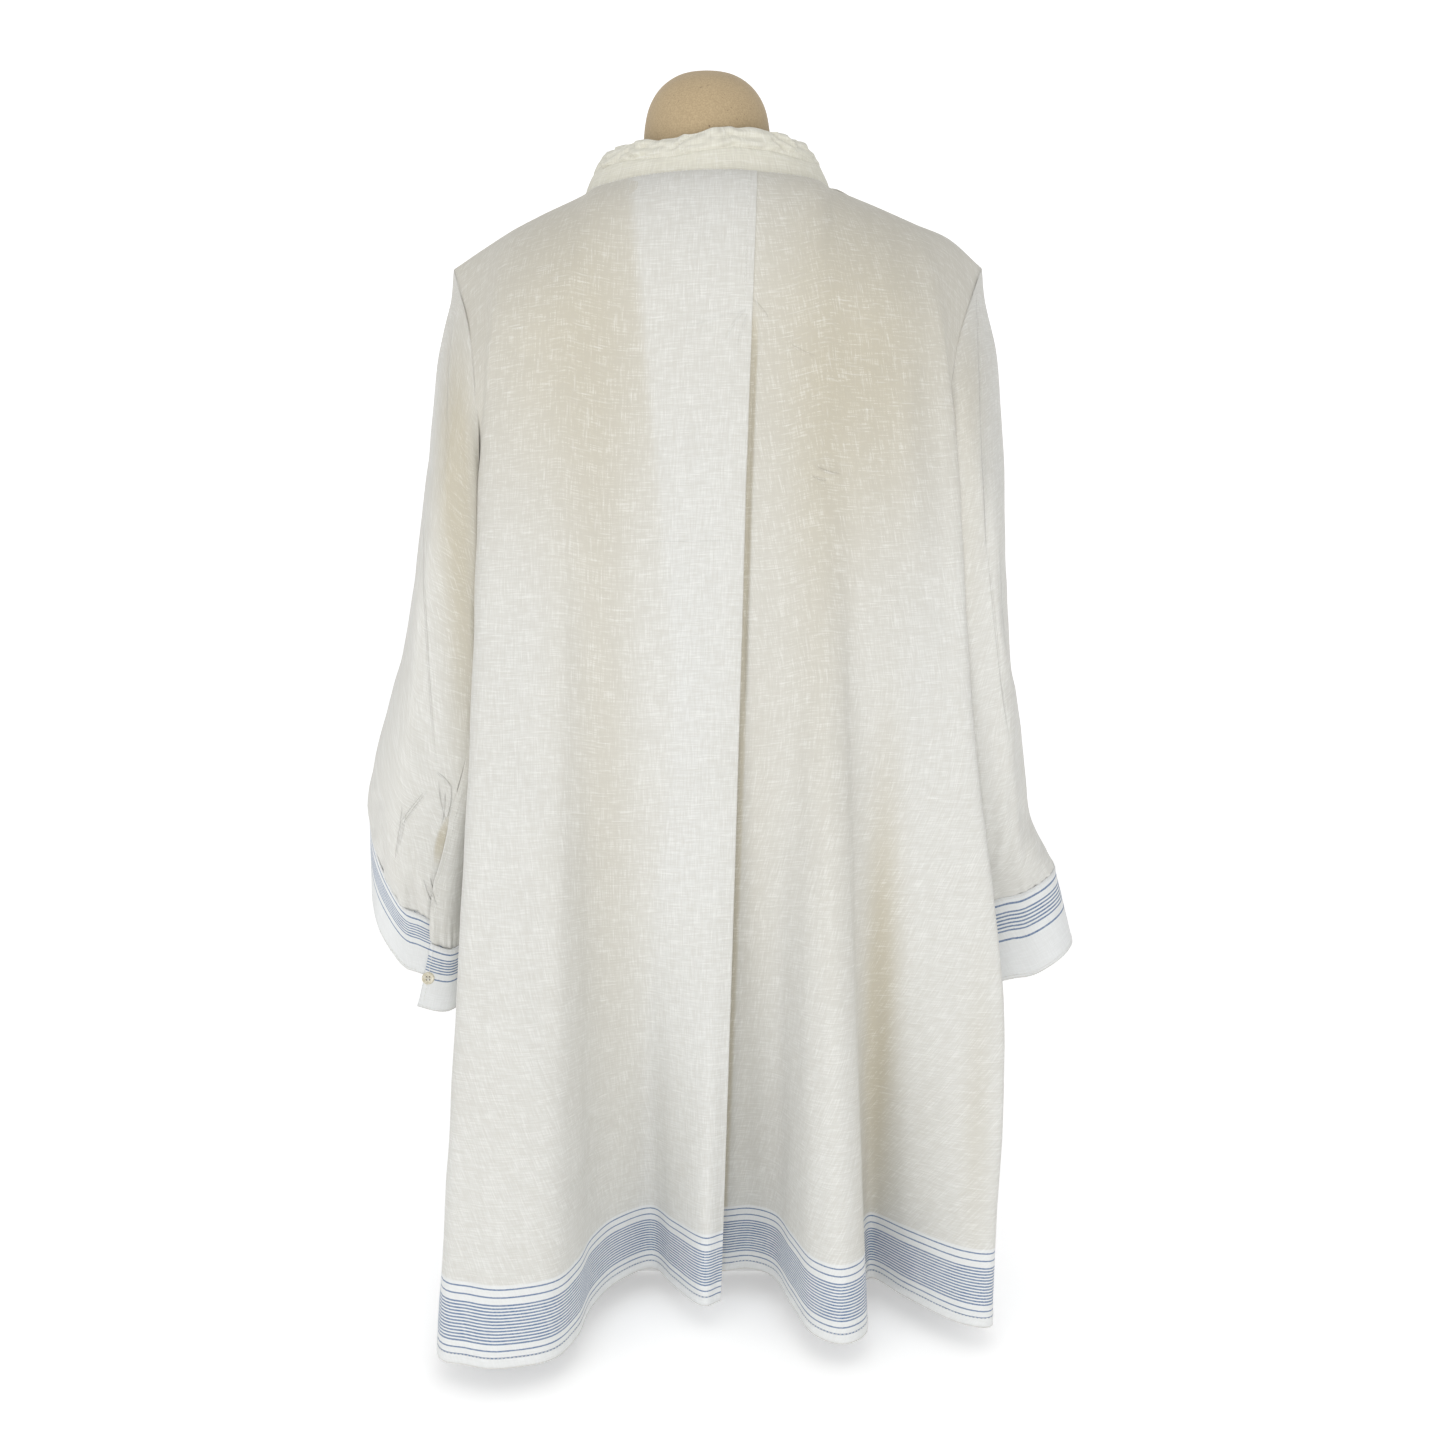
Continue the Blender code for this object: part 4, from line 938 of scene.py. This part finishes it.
def sleeveGrid(side):
    # Formula: the armhole ring and the table's rings, joined by Catmull-Rom down the sleeve; below
    # the slit's top the last columns run on under the first ones, and a leaf-shaped gap parts them
    look = sleeveLooks
    table = throughRows(sleeveRings[side][:, None], 2)[:, 0]
    last = len(sleeveRings[side]) - 1
    place = np.arange(len(table))[:, None] / 2
    place = throughRows(place[:, None], look["perSpan"] // 2)[:, 0]
    table = throughRows(table[:, None], look["perSpan"] // 2)[:, 0]
    top, bottom = (math.radians(a) for a in look["slitAngles"][side])
    slit = top + (bottom - top) * easeStep((place - 3) / (last - 3))
    low, high = look["leafRows"]
    leaf = look["slitLeaf"] * np.sin(np.pi * np.clip((place - low) / (high - low), 0, 1)) ** 0.8
    opened = easeStep((place - look["slitTopRow"]) / 0.4)
    half = (leaf + 0.0004 * opened) / 2 / table[:, 4:5]
    share = np.linspace(0, 1, look["columns"])[None]
    share = share - look["nearSlit"] / turnAll * np.sin(turnAll * share)
    tuck = look["underlap"] * opened * np.linspace(0, 1, 12)[None, 1:]
    angles = slit + half + (turnAll - 2 * half) * share
    angles = np.concatenate([angles, slit + turnAll - half + tuck], axis=1)
    rings = ringPoints(side, table, angles)
    turn = np.clip(angles - math.radians(look["slitAngles"][side][1]), 0, turnAll)
    toSeam = easeStep((place - last) / look["liftRows"] + 1)
    rings[..., 2] += toSeam * cuffLift(side, "seam", turn)
    armholeAngles = angles[0]
    armhole = armholePoints(side, (1 - np.cos(armholeAngles)) / 2, -np.sign(np.sin(armholeAngles)))
    armhole[:, 0] += math.copysign(0.0002, shoulderTips[side][0])
    head = throughRows(np.stack([armhole, rings[0], rings[8]]), 8)[:8]
    grid = np.concatenate([head, rings])
    rowPlace = np.concatenate([np.zeros((8, 1)), place])
    normal = gridNormals(grid)
    normal = normal * np.sign((normal * (grid - grid.mean(axis=1, keepdims=True))).sum(axis=2).mean())
    uv = clothUv(grid)
    shown = easeStep(-normal[..., 1] / 0.4 + 0.3)
    around = np.concatenate([share, np.ones((1, 11))], axis=1)
    gathers = np.sin(27 * around * turnAll) * np.sin(8 * around * turnAll + 1.0)
    nearCuff = easeStep((rowPlace - last + 1.1) / 1.0)
    ends = easeStep(around / 0.01) * easeStep((1 - around) / 0.01)
    depth = creaseDepth(grid, sleeveCreases[side]) * shown + 0.0007 * gathers * nearCuff
    depth = (depth + crumple(uv, look["crumple"], 7)) * ends * easeStep(rowPlace * 2 + 0.2)
    tucked = np.concatenate([np.zeros((1, look["columns"])), np.linspace(0, 1, 12)[None, 1:] ** 0.5], axis=1)
    opened = np.concatenate([np.zeros((8, 1)), opened])
    grid = grid + normal * (depth - 0.0016 * tucked * opened)[..., None]
    # Painted shade: the slit's tucked leaf is coloured warm as the shaded inside of the sleeve, and the spots shade
    # the sleeves beside the body
    inLeaf = np.concatenate([np.zeros((8, 1)), leaf / look["slitLeaf"]]) * (tucked > 0)
    backing = 0.20 + 0.8 * inLeaf + spotSum(grid, sleeveShadeSpots)
    return {"grid": grid, "uv": uv, "backing": np.clip(backing, 0, 1), "normal": normal}


def cuffPoints(side, t, turn, grow=0.0):
    # Formula: rings between the seam at t = 0 and the edge at t = 1, the upper end raised over the
    # lower one
    look = sleeveLooks
    seam, edge = sleeveRings[side][-1:], cuffEdges[side]
    rings = seam + (edge - seam) * t
    rise = look["cuffLapRise"] * (1 - easeStep((turn - 0.4) / 1.6)) + 0.0004 + grow
    start = math.radians(look["slitAngles"][side][1]) - look["cuffSlant"][side] * t
    points = ringPoints(side, rings, start + turn, rise)
    seamLift, edgeLift = (cuffLift(side, line, np.minimum(turn, turnAll)) for line in ("seam", "edge"))
    points[..., 2] += seamLift * (1 - t) + edgeLift * t
    return points


def cuffPatch(side):
    # Formula: the flat map gives the band its own height, since its foot is turned away
    look = sleeveLooks
    t = np.linspace(0, 1, look["cuffRows"])[:, None]
    turn = np.linspace(0, turnAll + look["cuffLap"], look["cuffColumns"])[None]
    grid = cuffPoints(side, t, turn)
    uv = clothUv(grid)
    uv[..., 1] = (1 - t) * look["cuffHeight"]
    normal = gridNormals(grid)
    normal = normal * np.sign((normal * (grid - grid.mean(axis=1, keepdims=True))).sum(axis=2).mean())
    depth = crumple(uv, 0.00018, 11) * easeStep(t / 0.15) * easeStep(turn / 0.2)
    return {"grid": grid + normal * depth[..., None], "uv": uv, "backing": 0.08, "normal": normal}


sleevePieces, cuffPieces, sleevePatches, cuffPatches = {}, {}, {}, {}
for side in ("left", "right"):
    title = side.capitalize()
    sleevePatches[side], cuffPatches[side] = sleeveGrid(side), cuffPatch(side)
    sleevePieces[side] = addSurface(
        "sleeve" + title, [sleevePatches[side]], linenSleeve, "sleeve_" + side, sleeveLooks["wall"]
    )
    cuffPieces[side] = addSurface(
        "cuff" + title, [cuffPatches[side]], linenCuff, "cuff_" + side, sleeveLooks["wall"]
    )
print("sleeves and cuffs made")

collarLook = {
    "foot": 0.10,
    "lean": 0.0145,
    "rollAt": 0.50,
    "rollDepth": 0.0018,
    "crush": 0.0017,
    "frontHeight": 0.029,
    "lap": math.radians(7),
    "lapRise": 0.0022,
    "wall": 0.0014,
    "rows": 54,
    "columns": 330,
}
# Height of the collar behind the neck: x, height
collarTop = np.array([
    (-0.084, 0.0300), (-0.058, 0.0295), (-0.040, 0.0272), (-0.024, 0.0264), (-0.006, 0.0300),
    (0.006, 0.0314), (0.020, 0.0334), (0.036, 0.0326), (0.049, 0.0335), (0.066, 0.0318),
    (0.078, 0.0308), (0.084, 0.0296),
])


def collarPatch():
    # Formula: an ellipse round the neck that leans in with height; above the roll line sines of
    # several lengths crush it, and its upper edge rises and falls by the table
    look, b = collarLook, body
    t = np.linspace(-look["foot"], 1, look["rows"])[:, None]
    turn = np.linspace(-look["lap"], turnAll + look["lap"], look["columns"])[None]
    c, s = np.cos(turn), np.sin(turn)
    lap = look["lapRise"] * easeStep((turn - turnAll + 4 * look["lap"]) / (3 * look["lap"]))
    up = np.maximum(t, 0)
    roll = np.exp(-(((t - look["rollAt"] - 0.03 * np.sin(5 * turn)) / 0.040) ** 2))
    roll = roll - 0.8 * np.exp(-(((t - look["rollAt"] - 0.16) / 0.09) ** 2))
    bent = turn + 0.05 * np.sin(9 * turn + 5 * t)
    wavy = 2.2 * np.sin(9 * turn + 1) + 1.5 * np.sin(17 * turn) + 0.8 * np.sin(31 * turn + 2)
    wrinkle = np.sin(25 * t + wavy) * (0.75 + 0.45 * np.sin(13 * turn + 2))
    wrinkle = wrinkle + 0.7 * np.sin(23 * bent + 9 * t) * np.sin(7 * turn + 11 * t)
    wrinkle = wrinkle + 0.8 * (abs(np.sin(15 * bent - 7 * t + 1)) - 0.6)
    crush = look["crush"] * easeStep((t - look["rollAt"] + 0.02) / 0.14)
    inward = look["lean"] * up**1.2 + look["rollDepth"] * roll * (1 - 0.8 * s**8)
    inward = inward + crush * wrinkle * (1 - 0.75 * s**8) + 0.0002 * np.sin(29 * turn + 8 * t)
    inward = inward + 0.0022 * easeStep((t - 0.86) / 0.14)
    half = b["neckHalfWidth"] + 0.0004 - inward + lap
    depth = np.where(c > 0, b["neckFrontDepth"], b["neckBackDepth"]) + 0.0004 - 0.6 * inward + lap
    x, y = half * s, depth * c
    rise = np.where(c < 0, b["backNeckRise"], -b["frontNeckDrop"]) * c * c
    base = b["sideNeckHeight"] + b["shoulderTilt"] * x + rise
    behind = np.interp((b["neckHalfWidth"] - 0.010) * s, *collarTop.T)
    height = behind + (look["frontHeight"] - behind) * easeStep(c * 2.5 + 0.3)
    ripple = 0.0007 * np.sin(17 * turn) * easeStep((t - 0.7) / 0.3)
    z = base + height * t + ripple
    grid = np.stack(np.broadcast_arrays(x, y, z), axis=-1)
    uv = np.stack(np.broadcast_arrays(turn * 0.08, t * 0.033), axis=-1)
    return {"grid": grid, "uv": uv, "backing": 0.16 - 0.08 * easeStep(t) + 0 * turn}


collarPiece = addSurface(
    "collarBand", [collarPatch()], linenCollar, "collar", collarLook["wall"]
)

placketLook = {"width": 0.030, "length": 0.285, "wall": 0.0010, "lift": 0.0011}


def placketGrid(outward):
    # Formula: the front's own points across the strip's width, moved out along its normals
    look = placketLook
    grid = frontGrid[frontGrid[:, frontMiddle, 2] > frontGrid[0, frontMiddle, 2] - look["length"]]
    normal = outwardNormals(grid, 1)
    x = np.broadcast_to(np.linspace(-look["width"] / 2, look["width"] / 2, 13), (len(grid), 13))
    lift = readRows(grid, normal, x)
    lift = lift / np.linalg.norm(lift, axis=2, keepdims=True)
    return readRows(grid, grid, x) + lift * (outward * look["lift"])


for name, outward in (("over", 1), ("under", -1)):
    grid = placketGrid(outward)
    addSurface(
        "placket" + name.capitalize(), [{"grid": grid, "uv": clothUv(grid), "backing": 0.1}],
        linenPlain, "placket_" + name, placketLook["wall"],
    )
print("collar and placket made")

threadLook = {"pitch": 0.0031, "length": 0.0023, "radius": 0.00026, "lift": 0.00062, "sink": 0.00035}


def stitchesAlong(path, out, lift=0.0):
    # Formula: equal steps of the path's length, with the direction and the cloth's normal there
    step = np.linalg.norm(np.diff(path, axis=0), axis=1)
    length = np.concatenate([[0], np.cumsum(step)])
    at = (np.arange(int(length[-1] / threadLook["pitch"])) + 0.5) * threadLook["pitch"]
    spots, ahead, normal = (
        np.stack([np.interp(at + more, length, values[:, k]) for k in range(3)], axis=-1)
        for values, more in ((path, 0.0), (path, 0.0006), (out, 0.0))
    )
    normal = normal / np.linalg.norm(normal, axis=1, keepdims=True)
    along = ahead - spots
    along = along / np.maximum(np.linalg.norm(along, axis=1, keepdims=True), 1e-9)
    return spots + normal * (threadLook["lift"] + lift), along, normal, threadLook["length"]


def stitchRows():
    # The rows of stitches: neck, pleat, hems, slits and cuffs
    rows = []
    back, front = backPatch, frontPatch
    for columns in (slice(0, leftCount - 3), slice(-rightCount + 2, None)):
        near = abs(back["grid"][0, columns, 0]) < body["neckHalfWidth"] - 0.003
        rows.append((back["grid"][3, columns][near], back["normal"][3, columns][near]))
        rows.append((back["grid"][-3, columns], back["normal"][-3, columns]))
    near = abs(front["grid"][0, :, 0]) < body["neckHalfWidth"] - 0.003
    rows.append((front["grid"][3][near], front["normal"][3][near]))
    rows.append((front["grid"][-3], front["normal"][-3]))
    column = leftCount - 3
    sewn = (back["grid"][:, column, 2] > body["pleatSewnTo"]) & (np.arange(body["rows"]) > 3)
    rows.append((back["grid"][sewn, column], back["normal"][sewn, column]))
    for side in ("left", "right"):
        patch = sleevePatches[side]
        rows.append((patch["grid"][-48:-2, 6], patch["normal"][-48:-2, 6]))
        turn = np.linspace(0.02, turnAll, 200)[None]
        for t in (0.035, 0.955):
            path = cuffPoints(side, np.array([[t]]), turn)[0]
            rows.append((path, path - path.mean(axis=0)))
        path = cuffPoints(side, np.linspace(0.04, 0.955, 40)[:, None], np.array([[0.045]]))[:, 0]
        rows.append((path, np.broadcast_to(cuffPatches[side]["normal"][5:6, 2], path.shape)))
    return [stitchesAlong(path, out) for path, out in rows]


def placketRows():
    # Two rows down the upper strip, each 2 mm from its edge
    half = placketLook["width"] / 2 - 0.002
    grid = placketGrid(1)
    normal = outwardNormals(grid, 1)
    made = []
    for x in (-half, half):
        at = np.full((len(grid), 1), x)
        path, out = readRows(grid, grid, at)[:, 0], readRows(grid, normal, at)[:, 0]
        made.append(stitchesAlong(path, out, 0.0002))
    return made


def addThread(name, runs, finish):
    # Formula: five rings of six points along each stitch, its ends drawn to a point and sunk
    look = threadLook
    places = np.array([-1, -0.7, 0, 0.7, 1])[:, None] / 2
    thick = np.array([0, 0.8, 1, 0.8, 0])[:, None]
    turn = np.arange(6)[None] * turnAll / 6
    points = []
    for spots, along, out, length in runs:
        beside = np.cross(out, along)
        spots, along, out, beside = (k[:, None, None] for k in (spots, along, out, beside))
        sunk = -look["sink"] * (2 * places) ** 2 + thick * look["radius"] * np.sin(turn)
        wide = thick * look["radius"] * np.cos(turn)
        made = spots + along * (places * length)[None, ..., None]
        points.append(made + beside * wide[None, ..., None] + out * sunk[None, ..., None])
    points = np.concatenate(points)
    index = np.arange(points[..., 0].size).reshape(points.shape[:3])
    beside = np.roll(index, -1, axis=2)
    faces = np.stack([index[:, :-1], beside[:, :-1], beside[:, 1:], index[:, 1:]], axis=-1)
    mesh = bpy.data.meshes.new(name)
    mesh.from_pydata((points.reshape(-1, 3) + np.array([0, wornY, 0])).tolist(), [], faces.reshape(-1, 4).tolist())
    work = bmesh.new()
    work.from_mesh(mesh)
    bmesh.ops.remove_doubles(work, verts=work.verts, dist=1e-6)
    bmesh.ops.recalc_face_normals(work, faces=work.faces)
    work.to_mesh(mesh)
    work.free()
    mesh.shade_smooth()
    mesh.materials.append(finish)
    piece = bpy.data.objects.new(name, mesh)
    bpy.context.scene.collection.objects.link(piece)
    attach(piece, "root")
    return piece


# Half the section of a button, from the middle of its back to the middle of its face: radius, height
buttonProfile = np.array([
    (0.0, -0.0010), (0.0046, -0.0010), (0.0051, -0.0006), (0.0052, 0.0), (0.0051, 0.0006),
    (0.0047, 0.0010), (0.0041, 0.0010), (0.0035, 0.0006), (0.0028, 0.0004), (0.0, 0.0004),
])


# How far a button stands off its solid's place, in metres
buttonShifts = {"cuff_button_left": (-0.0052, 0.0, 0.007)}


def buttonPlace(node):
    # Formula: the middle of the solid's points, and the three ways of their spread, thinnest last
    points = np.array([tuple(node.matrix_world @ corner.co) for corner in node.data.vertices])
    middle = (points.max(axis=0) + points.min(axis=0)) / 2
    middle = middle + np.array(buttonShifts.get(node.name, (0.0, 0.0, 0.0)))
    across, upward, out = np.linalg.svd(points - points.mean(axis=0), full_matrices=False)[2]
    out = out * np.sign(out[1] * (middle[1] - wornY))
    across = np.cross(np.array([0, 0, 1.0]), out)
    across = across / np.linalg.norm(across)
    return middle - np.array([0, wornY, 0]), across, np.cross(out, across), out


def addButton(name, node, finish):
    # Formula: the profile turned about the button's own middle, in its own plane
    middle, across, upward, out = buttonPlace(node)
    turn = np.linspace(0, turnAll, 41)[None]
    radius, height = buttonProfile[:, :1], buttonProfile[:, 1:]
    flat = np.stack([radius * np.cos(turn), radius * np.sin(turn)], axis=-1)
    grid = middle + flat[..., :1] * across + flat[..., 1:] * upward + height[..., None] * out
    addSurface(name, [{"grid": grid, "uv": flat, "flip": False}], finish, node.name, merge=1e-6)
    crossed = np.stack([across + upward, across - upward]) / math.sqrt(2)
    raised = middle + out * 0.0009
    return np.stack([raised, raised]), crossed, np.stack([out, out]), 0.0040


threadRuns = stitchRows() + placketRows()
shell = shellButton()
for nodeName, node in list(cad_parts.items()):
    if "button" in nodeName:
        words = nodeName.split("_")
        threadRuns.append(addButton(words[0] + "".join(w.capitalize() for w in words[1:]), node, shell))
addThread("stitches", threadRuns, sewingThread())
print("stitches and buttons made")

formRings = np.array([
    # height, half width, half depth
    (1.0145, 0.000, 0.000), (1.0135, 0.012, 0.011), (1.0105, 0.024, 0.022), (1.0020, 0.036, 0.034),
    (0.9890, 0.0445, 0.042), (0.9720, 0.0485, 0.046), (0.9500, 0.0500, 0.048),
    (0.9340, 0.0530, 0.049), (0.9240, 0.0680, 0.044), (0.9160, 0.099, 0.041), (0.9050, 0.124, 0.045),
    (0.8930, 0.147, 0.048), (0.8820, 0.164, 0.051), (0.8660, 0.177, 0.056), (0.8450, 0.184, 0.072),
    (0.8100, 0.183, 0.094), (0.7600, 0.172, 0.098), (0.7000, 0.160, 0.098), (0.6400, 0.146, 0.088),
    (0.5800, 0.138, 0.080), (0.5200, 0.143, 0.080), (0.4600, 0.152, 0.082), (0.4100, 0.152, 0.080),
    (0.3850, 0.146, 0.076), (0.3705, 0.134, 0.068), (0.3700, 0.128, 0.064), (0.3700, 0.0, 0.0),
])


def formGrid():
    # Formula: each level ring is an ellipse, and Catmull-Rom joins the rings down the form
    turn = np.linspace(0, turnAll, 97)[None]
    z, half, depth = (formRings[:, k : k + 1] for k in range(3))
    rings = np.broadcast_arrays(half * np.cos(turn), depth * np.sin(turn), z)
    return throughRows(np.stack(rings, axis=-1), 5)


grid = formGrid()
formPiece = addSurface("dressForm", [{"grid": grid, "uv": clothUv(grid)}], formCover(), "dress_form")
paint = whitePaint()
for nodeName in ("stand_post", "stand_base"):
    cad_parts[nodeName].data.materials.clear()
    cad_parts[nodeName].data.materials.append(paint)
print("form and stand made")


room = {"halfWidth": 4.0, "near": -4.0, "far": 2.2, "sweep": 1.2, "wallTop": 4.0, "glow": 0.37}


def backdrop():
    # Formula: a floor that bends by a quarter circle into an upright wall
    r = room
    turn = np.linspace(0, np.pi / 2, 24)
    y = np.concatenate([[r["near"]], r["far"] + r["sweep"] * np.sin(turn), [r["far"] + r["sweep"]]])
    z = np.concatenate([[0], r["sweep"] * (1 - np.cos(turn)), [r["wallTop"]]])
    x = np.array([-r["halfWidth"], r["halfWidth"]])
    grid = np.stack([np.broadcast_to(x, (len(y), 2)), np.repeat(y[:, None], 2, 1), np.repeat(z[:, None], 2, 1)], -1)
    mesh = bpy.data.meshes.new("backdrop")
    mesh.from_pydata(grid.reshape(-1, 3).tolist(), [], gridFaces(len(y), 2, 0).tolist())
    mesh.shade_smooth()
    sheet = Finish("backdrop")
    sheet.shader.inputs["Emission Color"].default_value = (1, 1, 1, 1)
    sheet.shader.inputs["Emission Strength"].default_value = room["glow"]
    mesh.materials.append(sheet.finish((0.92, 0.92, 0.92, 1), 0.9))
    piece = bpy.data.objects.new("backdrop", mesh)
    bpy.context.scene.collection.objects.link(piece)


def softLight(name, place, target, size, power):
    data = bpy.data.lights.new(name, "AREA")
    data.shape = "RECTANGLE"
    data.size, data.size_y = size
    data.energy = power
    lamp = bpy.data.objects.new(name, data)
    lamp.location = place
    lamp.rotation_euler = (Vector(target) - Vector(place)).to_track_quat("-Z", "Y").to_euler()
    bpy.context.scene.collection.objects.link(lamp)


backdrop()
softLight("softLeft", (-2.1, -2.2, 1.0), (0, 0, 0.4), (1.5, 1.5), 17)
softLight("softRight", (2.2, -2.0, 0.7), (0, 0, 0.3), (1.5, 1.5), 8.5)
softLight("softFront", (0.0, -2.7, 0.55), (0, 0, 0.35), (1.8, 1.2), 14)
softLight("softTop", (0.0, -1.1, 2.7), (0, 0, 0.4), (1.8, 1.8), 7)
world = bpy.data.worlds.new("studio")
world.use_nodes = True
world.node_tree.nodes["Background"].inputs[0].default_value = (1, 1, 1, 1)
world.node_tree.nodes["Background"].inputs[1].default_value = 0.56
bpy.context.scene.world = world
bpy.context.scene.view_settings.view_transform = "Standard"

cameraLook = {"place": (0.012, -1.30, 0.712), "tilt": 9.0, "focalPixels": 1600, "imagePixels": 1445}
camera = bpy.data.objects.new("camera", bpy.data.cameras.new("camera"))
camera.data.sensor_width = 36
camera.data.lens = 36 * cameraLook["focalPixels"] / cameraLook["imagePixels"]
camera.location = (cameraLook["place"][0], cameraLook["place"][1] + wornY, cameraLook["place"][2])
camera.rotation_euler = (math.radians(90 - cameraLook["tilt"]), 0, 0)
bpy.context.scene.collection.objects.link(camera)
bpy.context.scene.camera = camera
print("light and camera made")
